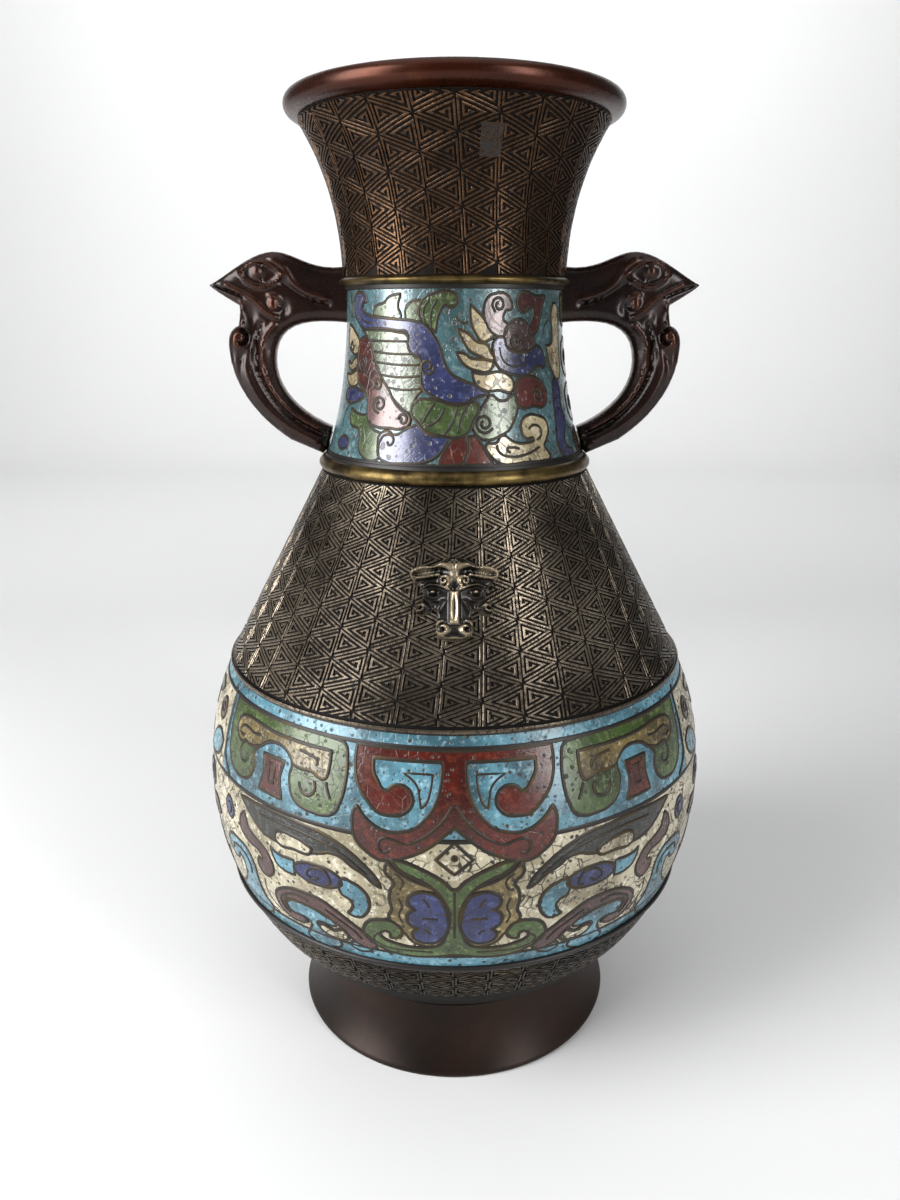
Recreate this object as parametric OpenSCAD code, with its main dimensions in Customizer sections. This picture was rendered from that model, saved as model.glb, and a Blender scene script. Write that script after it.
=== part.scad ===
// Bronze vase with champleve enamel bands, bird-head handles and ox masks.
// Millimetres, +Z up, origin at the centre of the foot's resting face.
// The front, with its ox mask, faces -Y; the handles stand along X.

/* [Foot] */
// Radius of the foot where it stands
foot_r = 56.3; // [54:0.1:58]
// Radius of the foot where it meets the bowl
foot_top_r = 49.5; // [49:0.1:51]
// Height of the foot
foot_h = 23.6; // [22:0.1:24]
// Thickness of the foot's skirt at the floor
foot_wall = 4; // [3:0.5:5]
// Thickness of the plate that closes the bowl
base_t = 4; // [3:0.5:5]

/* [Body] */
// Radius at the edge between the shoulder and the belly
edge_r = 75.3; // [74:0.1:77]
// Height of that edge
edge_z = 135.5; // [134:0.1:137]
// Height where the belly's enamel ends above the bowl
bowl_z = 61; // [60:0.1:62]
// Height of the line between the two enamel registers
register_z = 107; // [104:0.1:110]
// Thickness of the bronze wall
wall = 3; // [2.5:0.1:3.2]
// Depth of the enamel in its pockets
enamel_t = 0.8; // [0.6:0.1:1.2]

/* [Neck] */
// Radius at the foot of the neck
neck_r = 42.4; // [41.5:0.1:43]
// Height of the shoulder's upper end
shoulder_top_z = 196.6; // [196:0.1:197]
// Height where the neck's enamel starts
neck_z = 200.8; // [200.4:0.1:201.2]
// Radius at the waist of the neck
waist_r = 34; // [33.8:0.1:34.4]
// Height where the neck's enamel ends
neck_top_z = 251.9; // [251:0.1:252.4]
// Height where the trumpet mouth starts
flare_z = 254.3; // [254:0.1:255]

/* [Mouth] */
// Height of the whole vase
vase_h = 304.9; // [303:0.1:306]
// Radius to the middle of the rolled lip
lip_r = 47.4; // [47:0.1:48]
// Radius of the rolled lip's own section
lip_bead_r = 3; // [2.6:0.1:3.2]

/* [Handles] */
// Thickness of each handle
handle_t = 11; // [9:0.5:12]
// Radius of the rivets that hold the handles
rivet_r = 1.6; // [1.2:0.1:1.8]

/* [Masks] */
// Height of the ox masks above the shoulder
mask_t = 4; // [3:0.5:5]

/* [Hidden] */
$fn = 128;

bronze = "#3b322c";
polished = "#5a2d1c";
brass = "#8c7346";
turquoise = "#6fb4c6";
white_enamel = "#e6dfcd";

bead_w = 2.4;
bead_h = 1;
bead_clearance = 0.03;
bead_steps = 8;
collar_bulge = 1.6;
enamel_gap = 0.9;
mask_arc = 32.5;
patch_w = 5.5;
patch_h = 9;
patch_deg = -13.6;
rivet_z = [245, 249.6];
rivet_reach = 44;
tenon_w = 4;
tenon_z = [203, 207];
tenon_reach = 46;
steps = 14;

// Profiles run from the top down, as control points [radius, height]
flare_curve = [[46.8, vase_h - 6.5], [34.8, 279.6], [waist_r + 0.6, flare_z]];
neck_curve = [[waist_r, neck_top_z], [waist_r + 0.3, 221], [neck_r - 0.4, neck_z]];
shoulder_curve = [[neck_r + 0.4, shoulder_top_z], [edge_r, edge_z]];
belly_curve = [[edge_r, edge_z], [95, 96.7], [83.7, 46], [48.8, foot_h]];
foot_curve = [[foot_top_r, foot_h], [50.4, 11], [foot_r, 1.5]];

// ---- curves -------------------------------------------------------------------------------------

function mix(a, b, t) = a + (b - a) * t;

function bezier(p, t) = len(p) == 1 ? p[0]
    : bezier([for (i = [0 : len(p) - 2]) mix(p[i], p[i + 1], t)], t);

// A point of a curve, moved square to it towards the axis
function inset(p, t, d) = let(
    step = bezier(p, t + 0.001) - bezier(p, t - 0.001),
    e = step / norm(step)
) bezier(p, t) + d * [e[1], -e[0]];

// Where a falling curve passes a height
function t_at(p, z, d, lo = -0.3, hi = 1.3, n = 30) = let(m = (lo + hi) / 2)
    n == 0 ? m : inset(p, m, d)[1] > z ? t_at(p, z, d, m, hi, n - 1) : t_at(p, z, d, lo, m, n - 1);

function band(p, z_hi, z_lo, d) = let(a = t_at(p, z_hi, d), b = t_at(p, z_lo, d))
    [for (i = [0 : steps]) let(q = inset(p, mix(a, b, i / steps), d))
        [q[0], i == 0 ? z_hi : i == steps ? z_lo : q[1]]];

function reversed(list) = [for (i = [len(list) - 1 : -1 : 0]) list[i]];

function radius_at(p, z, d) = inset(p, t_at(p, z, d), d)[0];

// A chain of curves as one outline
function outline(pieces, n) = [for (piece = pieces)
    let(m = len(piece) == 2 ? 1 : n) for (i = [0 : m - 1]) bezier(piece, i / m)];

// ---- walls --------------------------------------------------------------------------------------

// A wall of revolution between two heights and two depths under the profile
module ring_wall(p, z_hi, z_lo, d_out, d_in) {
    rotate_extrude()
        polygon(concat(band(p, z_hi, z_lo, d_out), reversed(band(p, z_hi, z_lo, d_in))));
}

// A low bead that lies along a curve where it passes a height
module wall_bead(p, z) {
    a = t_at(p, z + bead_w / 2, 0);
    b = t_at(p, z - bead_w / 2, 0);
    rotate_extrude() polygon([for (i = [0 : bead_steps]) let(t = i / bead_steps)
        inset(p, mix(a, b, t), -bead_h * sin(180 * t) - bead_clearance)]);
}

// Everything that the neck fills, to fit the handles against it
module neck_core() {
    rotate_extrude() polygon(concat(
        [[0, vase_h - 6.5]],
        band(flare_curve, vase_h - 6.5, flare_z, 0),
        collar_side(neck_top_z, flare_z, waist_r, waist_r + 0.6),
        band(neck_curve, neck_top_z, neck_z, 0),
        [[0, neck_z]]));
}

// ---- foot and bowl ------------------------------------------------------------------------------

module foot_ring() {
    seat_z = foot_h - base_t;
    color(bronze) difference() {
        rotate_extrude() polygon(concat(
            [for (i = [0 : steps]) bezier(foot_curve, i / steps)],
            [[foot_r, 0], [foot_r - foot_wall, 0], [foot_top_r - wall - 3, seat_z]],
            [[0, seat_z], [0, foot_h]]));
        translate([0, 0, seat_z - 1]) cylinder(r = foot_top_r - wall - 3, h = base_t + 2);
        translate([0, 0, seat_z]) cylinder(r = foot_top_r - wall, h = base_t + 1);
    }
}

module base_plate() {
    color(bronze) translate([0, 0, foot_h - base_t]) cylinder(r = foot_top_r - wall, h = base_t);
}

module lower_bowl() {
    color(bronze) ring_wall(belly_curve, bowl_z, foot_h, 0, wall);
}

module lower_bead() {
    color(brass) wall_bead(belly_curve, bowl_z);
}

// ---- belly --------------------------------------------------------------------------------------

module belly_shell() {
    color(bronze) union() {
        ring_wall(belly_curve, edge_z, bowl_z, enamel_t, wall);
        ring_wall(belly_curve, edge_z, edge_z - enamel_gap, 0, enamel_t);
        ring_wall(belly_curve, bowl_z + enamel_gap, bowl_z, 0, enamel_t);
    }
}

module belly_enamel_lower() {
    color(white_enamel)
        ring_wall(belly_curve, register_z - enamel_gap / 2, bowl_z + enamel_gap, 0, enamel_t);
}

module register_line() {
    color(bronze)
        ring_wall(belly_curve, register_z + enamel_gap / 2, register_z - enamel_gap / 2, 0, enamel_t);
}

module belly_enamel_upper() {
    color(turquoise)
        ring_wall(belly_curve, edge_z - enamel_gap, register_z + enamel_gap / 2, 0, enamel_t);
}

// ---- shoulder -----------------------------------------------------------------------------------

module shoulder_bead() {
    color(brass) wall_bead(belly_curve, edge_z);
}

module shoulder() {
    color(bronze) difference() {
        ring_wall(shoulder_curve, shoulder_top_z, edge_z, 0, wall);
        for (turn = [0, 180]) rotate([0, 0, turn]) mask_pin_shanks();
    }
}

// ---- neck ---------------------------------------------------------------------------------------

// The swelling side of a collar, from its upper edge to its lower one
function collar_side(z_lo, z_hi, r_lo, r_hi) = [for (i = [0 : steps]) let(
    t = i / steps) [mix(r_hi, r_lo, t) + collar_bulge * sin(180 * t), mix(z_hi, z_lo, t)]];

module collar(z_lo, z_hi, r_lo, r_hi) {
    color(brass) rotate_extrude() polygon(concat(
        collar_side(z_lo, z_hi, r_lo, r_hi), [[r_lo - wall, z_lo], [r_hi - wall, z_hi]]));
}

module lower_neck_collar() {
    collar(shoulder_top_z, neck_z, neck_r + 0.4, neck_r - 0.4);
}

module upper_neck_collar() {
    collar(neck_top_z, flare_z, waist_r, waist_r + 0.6);
}

module neck_band() {
    color(bronze) difference() {
        union() {
            ring_wall(neck_curve, neck_top_z, neck_z, enamel_t, wall);
            ring_wall(neck_curve, neck_top_z, neck_top_z - enamel_gap, 0, enamel_t);
            ring_wall(neck_curve, neck_z + enamel_gap, neck_z, 0, enamel_t);
        }
        both_sides() rivet_shanks();
    }
}

module neck_enamel() {
    color(turquoise) difference() {
        ring_wall(neck_curve, neck_top_z - enamel_gap, neck_z + enamel_gap, 0, enamel_t);
        both_sides() rivet_shanks();
    }
}

module neck_flare() {
    color(bronze) difference() {
        ring_wall(flare_curve, vase_h - 6.5, flare_z, 0, wall);
        patch_block();
    }
}

module patch_block() {
    rotate([0, 0, patch_deg]) translate([-patch_w / 2, -60, 282.5]) cube([patch_w, 60, patch_h]);
}

// A cast-in plug that mends a flaw in the trumpet's wall
module repair_patch() {
    color(bronze) intersection() {
        ring_wall(flare_curve, vase_h - 6.5, flare_z, 0, wall);
        patch_block();
    }
}

module mouth_rim() {
    seat_z = vase_h - 6.5;
    inner_r = radius_at(flare_curve, seat_z, wall);
    color(polished) rotate_extrude() union() {
        translate([lip_r, vase_h - lip_bead_r]) circle(lip_bead_r, $fn = 48);
        polygon([[inner_r, seat_z], [46.8, seat_z], [lip_r, vase_h - lip_bead_r],
            [inner_r + 1.2, vase_h - lip_bead_r]]);
    }
}

// ---- handles ------------------------------------------------------------------------------------

// Side view of the right handle, [distance from the axis, height], as a chain of curves:
// crest, brow and beak, under the beak, throat, curl, back of the arm, heel, lower end, inside
handle_pieces = [
    [[30, 258.6], [44, 255], [49, 262.5], [56, 262.2]],
    [[56, 262.2], [63, 261.9], [70, 255.5], [76.3, 252.4]],
    [[76.3, 252.4], [75.5, 251.2], [67.2, 246.4]],
    [[67.2, 246.4], [67, 243.5], [67.9, 240.3]],
    [[67.9, 240.3], [71.6, 239], [71.3, 233.5]],
    [[71.3, 233.5], [70.9, 219], [60, 209.5], [53.3, 204.9]],
    [[53.3, 204.9], [42.9, 200.4]],
    [[42.9, 200.4], [41.2, 202]],
    [[41.2, 202], [39.6, 208.9]],
    [[39.6, 208.9], [50.5, 213.5], [57.2, 221], [56.9, 229.7]],
    [[56.9, 229.7], [56.5, 240.5], [48.5, 242.8], [33, 241.2]],
    [[33, 241.2], [30, 241.2]]];

module on_edge(thickness) {
    rotate([90, 0, 0]) linear_extrude(thickness, center = true) children();
}

module right_handle() {
    color(bronze) difference() {
        union() {
            on_edge(handle_t - 2) polygon(outline(handle_pieces, 8));
            // The head and the arm are a little thicker in their middles
            on_edge(handle_t) intersection() {
                polygon(outline(handle_pieces, 8));
                union() {
                    translate([56, 252]) circle(8);
                    translate([64, 225]) circle(6);
                }
            }
        }
        neck_core();
        rivet_shanks();
        tenon_block();
    }
}

module both_sides() {
    children();
    mirror([1, 0, 0]) children();
}

module rivet_shanks() {
    for (z = rivet_z) translate([waist_r - wall - 0.6, 0, z]) rotate([0, 90, 0])
        cylinder(r = rivet_r, h = rivet_reach - (waist_r - wall - 0.6));
}

// Shanks through the neck's wall with flat heads inside the neck
module right_rivets() {
    color(brass) {
        rivet_shanks();
        for (z = rivet_z) translate([waist_r - wall - 2, 0, z]) rotate([0, 90, 0])
            cylinder(r = rivet_r + 0.5, h = 1.4);
    }
}

module tenon_block() {
    translate([30, -tenon_w / 2, tenon_z[0]]) cube([tenon_reach - 30, tenon_w, tenon_z[1] - tenon_z[0]]);
}

// A square peg that bridges the gap between the handle's lower end and the neck
module right_tenon() {
    color(brass) difference() {
        tenon_block();
        neck_core();
    }
}

// ---- ox masks -----------------------------------------------------------------------------------

shoulder_run = [edge_r - neck_r - 0.4, shoulder_top_z - edge_z];
slope = atan2(shoulder_run[0], shoulder_run[1]);

// Half of the mask's outline, from the crown round the horn, ear, cheek and muzzle to the chin
mask_half = [[0, 12], [3, 11.2], [6, 9], [12.4, 8.3], [13.4, 5.8], [11, 3.6], [9.6, 2], [9.2, -0.5],
    [10.9, -3.2], [10.2, -5.2], [7, -4.6], [5.6, -3.6], [5, -8], [4.7, -10.2], [3, -12], [0, -12.4]];

// Moves a mask from the flat onto the front of the shoulder
module on_shoulder() {
    along = mask_arc / norm(shoulder_run);
    r = mix(neck_r + 0.4, edge_r, along);
    z = mix(shoulder_top_z, edge_z, along);
    translate([0, -r, z]) rotate([90 - slope, 0, 0]) children();
}

module mask_pin_shanks() {
    on_shoulder() for (v = [-6, 6]) translate([0, v, -wall - 0.6]) cylinder(r = 1, h = wall + 2.6);
}

module front_mask() {
    color(bronze) difference() {
        on_shoulder() {
            translate([0, 0, -1.5]) linear_extrude(1.5 + mask_t - 1.2)
                polygon(concat(mask_half, [for (p = reversed(mask_half)) if (p[0] > 0) [-p[0], p[1]]]));
            // Bridge of the nose, nostrils and eyes
            translate([-1.6, -9, -1]) cube([3.2, 12, mask_t + 0.8]);
            for (side = [-1, 1]) {
                translate([side * 2.5, -9.6, -1]) cylinder(r = 2.1, h = mask_t + 0.8);
                translate([side * 5, 1.5, -1]) cylinder(r = 1.3, h = mask_t + 0.3);
            }
        }
        rotate_extrude() polygon([[0, shoulder_top_z], shoulder_curve[0], shoulder_curve[1], [0, edge_z]]);
        mask_pin_shanks();
    }
}

// Shanks through the shoulder's wall with flat heads inside it
module front_pins() {
    color(brass) {
        mask_pin_shanks();
        on_shoulder() for (v = [-6, 6]) translate([0, v, -wall - 1.6]) cylinder(r = 2, h = 1.4);
    }
}

// ---- nodes --------------------------------------------------------------------------------------

foot_ring();
base_plate();
lower_bowl();
lower_bead();
belly_shell();
belly_enamel_lower();
register_line();
belly_enamel_upper();
shoulder_bead();
shoulder();
lower_neck_collar();
neck_band();
neck_enamel();
upper_neck_collar();
neck_flare();
repair_patch();
mouth_rim();
mirror([1, 0, 0]) right_handle();  // handle_left
right_handle();  // handle_right
mirror([1, 0, 0]) right_rivets();  // left_handle_rivets
right_rivets();  // right_handle_rivets
mirror([1, 0, 0]) right_tenon();  // left_handle_tenon
right_tenon();  // right_handle_tenon
front_mask();  // ox_mask_front
rotate([0, 0, 180]) front_mask();  // ox_mask_back
front_pins();  // front_mask_pins
rotate([0, 0, 180]) front_pins();  // back_mask_pins
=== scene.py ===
"""A bronze vase with champleve enamel bands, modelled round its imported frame. Sizes in millimetres."""
import math
import bpy
import numpy as np
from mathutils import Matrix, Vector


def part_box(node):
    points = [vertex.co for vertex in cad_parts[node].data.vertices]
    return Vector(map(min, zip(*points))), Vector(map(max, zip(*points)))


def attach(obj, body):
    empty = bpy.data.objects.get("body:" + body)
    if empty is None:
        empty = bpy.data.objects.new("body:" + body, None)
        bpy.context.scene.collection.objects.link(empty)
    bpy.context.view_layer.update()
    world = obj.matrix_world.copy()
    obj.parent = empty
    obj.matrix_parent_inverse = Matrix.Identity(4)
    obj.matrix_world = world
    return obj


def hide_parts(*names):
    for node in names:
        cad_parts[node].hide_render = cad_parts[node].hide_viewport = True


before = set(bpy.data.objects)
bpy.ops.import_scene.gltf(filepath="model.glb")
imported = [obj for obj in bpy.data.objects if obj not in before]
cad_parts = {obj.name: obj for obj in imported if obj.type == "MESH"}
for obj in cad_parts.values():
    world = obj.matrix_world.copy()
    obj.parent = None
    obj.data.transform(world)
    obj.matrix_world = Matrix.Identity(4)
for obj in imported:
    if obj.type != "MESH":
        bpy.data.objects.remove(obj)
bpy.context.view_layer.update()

MM = 0.001


# ---- sizes taken from the frame ------------------------------------------------------------------

def top_mm(node):
    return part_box(node)[1].z / MM


def foot_mm(node):
    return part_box(node)[0].z / MM


def reach_mm(node):
    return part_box(node)[1].x / MM


EDGE = (reach_mm("shoulder"), foot_mm("shoulder"))
SHOULDER_TOP = (42.8, top_mm("shoulder"))
FOOT_TOP = (49.5, top_mm("foot_ring"))
FOOT_REACH = reach_mm("foot_ring")
WAIST_R = 34.0
FLARE_FOOT = foot_mm("neck_flare")
FLARE_TOP = top_mm("neck_flare")
NECK_TOP = top_mm("neck_band")
NECK_FOOT = foot_mm("neck_band")
LIP_TOP = top_mm("mouth_rim")
LIP_REACH = reach_mm("mouth_rim")
MOUTH_R = 46.8
WALL_T = 3.0


# ---- the wall that flat work is wrapped round ----------------------------------------------------

def bezier(controls, t):
    """Points of a curve from its control points, at the shares t of its way."""
    t = t[:, None]
    rows = [np.array(c, float) + 0 * t for c in controls]
    while len(rows) > 1:
        rows = [a + (b - a) * t for a, b in zip(rows, rows[1:])]
    return rows[0]


class Wall:
    """The vase's outside along one curve of [radius, height] control points, from the top down."""

    def __init__(self, controls, ref):
        curve = bezier(controls, np.linspace(0, 1, 601))
        step = np.gradient(curve, axis=0)
        step /= np.linalg.norm(step, axis=1)[:, None]
        run = np.linalg.norm(np.diff(curve, axis=0), axis=1)
        self.run = np.concatenate([[0], np.cumsum(run)])
        self.r, self.z = curve[:, 0], curve[:, 1]
        self.out_r, self.out_z = -step[:, 1], step[:, 0]
        self.length = self.run[-1]
        self.ref = ref
        self.round = 2 * math.pi * ref

    def at(self, h, proud=0.0):
        """Radius and height at a length down the curve, moved out square to it."""
        columns = (self.r, self.z, self.out_r, self.out_z)
        r, z, out_r, out_z = (np.interp(h, self.run, column) for column in columns)
        return r + out_r * proud, z + out_z * proud

    def point(self, h, proud):
        r, z = self.at(h, proud)
        return (float(r), float(z))

    def outline(self, h0, h1, proud, steps):
        """Points of a line that keeps its distance from the curve."""
        return [self.point(h, proud) for h in np.linspace(h0, h1, steps)]

    def run_at(self, z):
        """Length down the curve at a height."""
        return float(np.interp(-z, -self.z, self.run))


BELLY = Wall([EDGE, (95, 96.7), (83.7, 46), (48.8, FOOT_TOP[1])], 85)
SHOULDER = Wall([SHOULDER_TOP, EDGE], 60)
NECK = Wall([(WAIST_R, NECK_TOP), (WAIST_R + 0.3, 221), (42, NECK_FOOT)], 38)
FLARE = Wall([(MOUTH_R, FLARE_TOP), (34.8, 279.6), (WAIST_R + 0.6, FLARE_FOOT)], 40)
FOOT = Wall([FOOT_TOP, (50.4, 11), (FOOT_REACH, 1.5)], 50)


def coordinates(piece):
    flat = np.empty(len(piece.data.vertices) * 3)
    piece.data.vertices.foreach_get("co", flat)
    return flat.reshape(-1, 3)


def set_coordinates(piece, points):
    piece.data.vertices.foreach_set("co", np.asarray(points, float).ravel())
    piece.data.update()


def remember(piece, vectors):
    """Keeps a vector at every point, for the finishes to read: its third number is how proud it is."""
    attributes = piece.data.attributes
    memory = attributes.get("flat") or attributes.new("flat", "FLOAT_VECTOR", "POINT")
    memory.data.foreach_set("vector", np.asarray(vectors, float).ravel())


def wrap(piece, wall, lean=0.0):
    """Bends flat work round a wall: x along the reference circle, -y down the curve, z outwards."""
    flat = coordinates(piece)
    x, y, z = flat.T
    remember(piece, flat)
    angle = (x + lean * y) / wall.ref
    r, height = wall.at(-y, z)
    set_coordinates(piece, np.stack([r * np.sin(angle), -r * np.cos(angle), height], axis=1) * MM)


def mark(piece, proud):
    """Remembers how proud a plain wall stands, for finishes that are darker in their grooves, from dark
    patina and painted shade.
    """
    points = coordinates(piece)
    points[:, 2] = proud
    remember(piece, points)
    return piece


# ---- small modelling helpers ---------------------------------------------------------------------

def alone(*pieces):
    bpy.ops.object.select_all(action="DESELECT")
    for piece in pieces:
        piece.select_set(True)
    bpy.context.view_layer.objects.active = pieces[0]


def named(name):
    piece = bpy.context.object
    piece.name = piece.data.name = name
    return piece


def edit(piece, *operators):
    """Runs edit-mode operators on the whole mesh."""
    alone(piece)
    bpy.ops.object.mode_set(mode="EDIT")
    bpy.ops.mesh.select_all(action="SELECT")
    for operator in operators:
        operator()
    bpy.ops.object.mode_set(mode="OBJECT")


def merge(distance=0.00001):
    return lambda: bpy.ops.mesh.remove_doubles(threshold=distance)


def face_out():
    bpy.ops.mesh.normals_make_consistent(inside=False)


def modifier(piece, kind, **settings):
    alone(piece)
    made = piece.modifiers.new(kind.lower(), kind)
    for key, value in settings.items():
        setattr(made, key, value)
    bpy.ops.object.modifier_apply(modifier=made.name)


def smooth(piece, degrees=35):
    alone(piece)
    bpy.ops.object.shade_smooth_by_angle(angle=math.radians(degrees))
    return piece


def joined(pieces, name):
    alone(*pieces)
    if len(pieces) > 1:
        bpy.ops.object.join()
    return named(name)


def twin(piece, name):
    """A copy with its own mesh."""
    copy = piece.copy()
    copy.data = piece.data.copy()
    copy.name = copy.data.name = name
    bpy.context.scene.collection.objects.link(copy)
    return copy


def turned_round(piece, name):
    """A copy turned half way round the vase's axis."""
    copy = twin(piece, name)
    set_coordinates(copy, coordinates(copy) * (-1, -1, 1))
    return copy


def dress(piece, finish, *stands_for):
    """Gives a piece its finish and its body, and hides the CAD nodes that it stands for."""
    piece.data.materials.clear()
    piece.data.materials.append(FINISH[finish])
    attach(piece, "root")
    if stands_for:
        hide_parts(*stands_for)
    return piece


TURN_STEPS = 192


def turned(name, outline):
    """Spins a closed outline of (radius, height) round the vase's axis."""
    bpy.ops.object.select_all(action="DESELECT")
    bpy.ops.mesh.primitive_circle_add(vertices=len(outline), radius=1, fill_type="NOTHING")
    piece = named(name)
    for vertex, (r, z) in zip(piece.data.vertices, outline):
        vertex.co = (r * MM, 0, z * MM)
    edit(piece,
         lambda: bpy.ops.mesh.spin(steps=TURN_STEPS, angle=2 * math.pi,
                                   center=(0, 0, 0), axis=(0, 0, 1)),
         merge(), face_out)
    return smooth(piece)


# ---- flat drawing --------------------------------------------------------------------------------
# A point written as a tuple is smooth, and one written as a list is a corner. A raised line's top is
# drawn in from both its sides and lifted, each by a share of its width.

DRAWN_IN = 0.27
LIFT = 0.16


def drawn(name, strokes, level=0.0, height=0.0, fine=6):
    """Lines drawn flat as one curve and made a mesh: filled shapes, or fences of a height."""
    curve = bpy.data.curves.new(name, "CURVE")
    curve.dimensions = "2D"
    curve.resolution_u = curve.render_resolution_u = fine
    curve.fill_mode = "NONE" if height else "BOTH"
    curve.extrude = height / 2
    for points, closed in strokes:
        spline = curve.splines.new("BEZIER")
        spline.bezier_points.add(len(points) - 1)
        spline.use_cyclic_u = closed
        for knot, q in zip(spline.bezier_points, points):
            knot.co = (q[0], -q[1], 0)
            knot.handle_left_type = knot.handle_right_type = "VECTOR" if isinstance(q, list) else "AUTO"
    piece = bpy.data.objects.new(name, curve)
    bpy.context.scene.collection.objects.link(piece)
    alone(piece)
    bpy.ops.object.convert(target="MESH")
    piece = named(name)
    points = coordinates(piece)
    points[:, 2] += level
    set_coordinates(piece, points)
    return piece


def cut_squares(size):
    """In edit mode: cuts everything along a square grid, so that it can bend."""
    points = coordinates(bpy.context.object)
    bpy.ops.mesh.select_all(action="SELECT")
    for axis in (0, 1):
        low, high = points[:, axis].min(), points[:, axis].max()
        for k in range(math.floor(low / size) + 1, math.ceil(high / size)):
            place = [0, 0, 0]
            place[axis] = k * size
            normal = [0, 0, 0]
            normal[axis] = 1
            bpy.ops.mesh.select_all(action="SELECT")
            bpy.ops.mesh.bisect(plane_co=place, plane_no=normal)


def rounded_top(width):
    """In edit mode, on a mesh that stands on the flat: insets its top faces and lifts them a little."""
    bpy.ops.mesh.select_mode(type="FACE")
    bpy.ops.mesh.select_all(action="DESELECT")
    bpy.ops.object.mode_set(mode="OBJECT")
    for face in bpy.context.object.data.polygons:
        face.select = face.normal.z > 0.9
    bpy.ops.object.mode_set(mode="EDIT")
    bpy.ops.mesh.inset(thickness=width * DRAWN_IN, depth=width * LIFT, use_even_offset=False)


def flip_x(points, middle=0.0):
    return [type(q)((2 * middle - q[0], q[1])) for q in points]


def shifted(points, dx):
    return [type(q)((q[0] + dx, q[1])) for q in points]


def both_halves(half):
    """A shape that is its own mirror image, from the half between its two points on the middle line."""
    return half + flip_x(half[-2:0:-1])


def with_copies(cells, lines, move):
    """A pattern's cells and lines, and again with all their points moved."""
    cells = cells + [(colour, layer, move(outline)) for colour, layer, outline in cells]
    lines = lines + [(move(points), closed, layer, width) for points, closed, layer, width in lines]
    return cells, lines


def spiral(x, h, radius, start, turns, way, steps, inner):
    """Points that wind in from the outside, to a share of the radius."""
    points = []
    for k in range(steps + 1):
        angle = math.radians(start) + way * 2 * math.pi * turns * k / steps
        r = radius * (1 - (1 - inner) * k / steps)
        points.append((x + r * math.cos(angle), h + r * math.sin(angle)))
    return points


def curl(x, h, radius, layer, start=0, turns=1.4, way=1):
    """A spiral wire inside a cell."""
    points = spiral(x, h, radius, start, turns, way, max(5, round(turns * 6)), 0.25)
    return (points, False, layer, 0.9)


# ---- enamel cells and the bronze between them ----------------------------------------------------
# How proud of the wall the ground stands, what each layer over it adds, and how far a line's top stands
# over its layer. GROUT is how deep a line's foot goes under the ground.

GROUND = -0.55
LAYER = 0.12
CREST = 0.07
GROUT = 0.1
GLASS = 0.25


def enamel_cells(name, wall, cells, grid=4.0, kind=""):
    """The enamel in a band's cells, one piece for each colour."""
    by_colour = {}
    for colour, layer, outline in cells:
        shape = drawn(name, [(outline, True)], GROUND + LAYER * layer)
        by_colour.setdefault(colour, []).append(shape)
    for colour, shapes in by_colour.items():
        piece = joined(shapes, f"{name}_{colour}_enamel")
        edit(piece, lambda: cut_squares(grid), merge(0.001))
        wrap(piece, wall)
        edit(piece, face_out)
        set_outward(piece)
        modifier(piece, "SOLIDIFY", thickness=GLASS * MM, offset=-1)
        dress(smooth(piece), f"{kind}{colour}_enamel")


def set_outward(piece):
    """Turns a wrapped sheet's faces away from the axis."""
    inward = [f.index for f in piece.data.polygons
              if f.normal.x * f.center.x + f.normal.y * f.center.y < 0]
    bpy.ops.object.mode_set(mode="EDIT")
    bpy.ops.mesh.select_mode(type="FACE")
    bpy.ops.mesh.select_all(action="DESELECT")
    bpy.ops.object.mode_set(mode="OBJECT")
    for index in inward:
        piece.data.polygons[index].select = True
    bpy.ops.object.mode_set(mode="EDIT")
    bpy.ops.mesh.flip_normals()
    bpy.ops.object.mode_set(mode="OBJECT")


def cell_walls(name, wall, cells, lines, width, grid=4.0):
    """The bronze left standing round the cells, and the lines inside them."""
    strokes = [(outline, True, layer, width) for _, layer, outline in cells] + lines
    by_size = {}
    for points, closed, layer, line_width in strokes:
        by_size.setdefault((layer, line_width), []).append((points, closed))
    parts = []
    for (layer, line_width), group in by_size.items():
        crest = GROUND + LAYER * layer + CREST - line_width * LIFT
        foot = GROUND - GROUT
        fence = drawn(name, group, (crest + foot) / 2, crest - foot)
        edit(fence, merge(0.001), lambda: cut_squares(grid))
        modifier(fence, "SOLIDIFY", thickness=line_width, offset=0)
        edit(fence, face_out, lambda: rounded_top(line_width))
        top = coordinates(fence)[:, 2]
        memory = fence.data.attributes.new("crest", "FLOAT", "POINT")
        memory.data.foreach_set("value", top > top.max() - 0.02)
        parts.append(fence)
    piece = joined(parts, name)
    wrap(piece, wall)
    return dress(smooth(piece, 50), "cell_bronze")


def sleeve(name, wall, h0, h1, proud, depth, x0=None, x1=None, columns=160, rows=24):
    """A band of a wall, or a panel of it, bent from a flat grid and given a thickness."""
    x0 = -wall.round / 2 if x0 is None else x0
    x1 = wall.round / 2 if x1 is None else x1
    bpy.ops.object.select_all(action="DESELECT")
    bpy.ops.mesh.primitive_grid_add(x_subdivisions=columns, y_subdivisions=rows, size=2)
    piece = named(name)
    points = coordinates(piece)
    x = x0 + (points[:, 0] + 1) / 2 * (x1 - x0)
    h = h0 + (1 - points[:, 1]) / 2 * (h1 - h0)
    set_coordinates(piece, np.stack([x, -h, x * 0 + proud], axis=1))
    wrap(piece, wall)
    edit(piece, merge())
    set_outward(piece)
    modifier(piece, "SOLIDIFY", thickness=depth * MM, offset=-1)
    return smooth(piece)


# ---- key-fret relief -----------------------------------------------------------------------------

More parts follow.
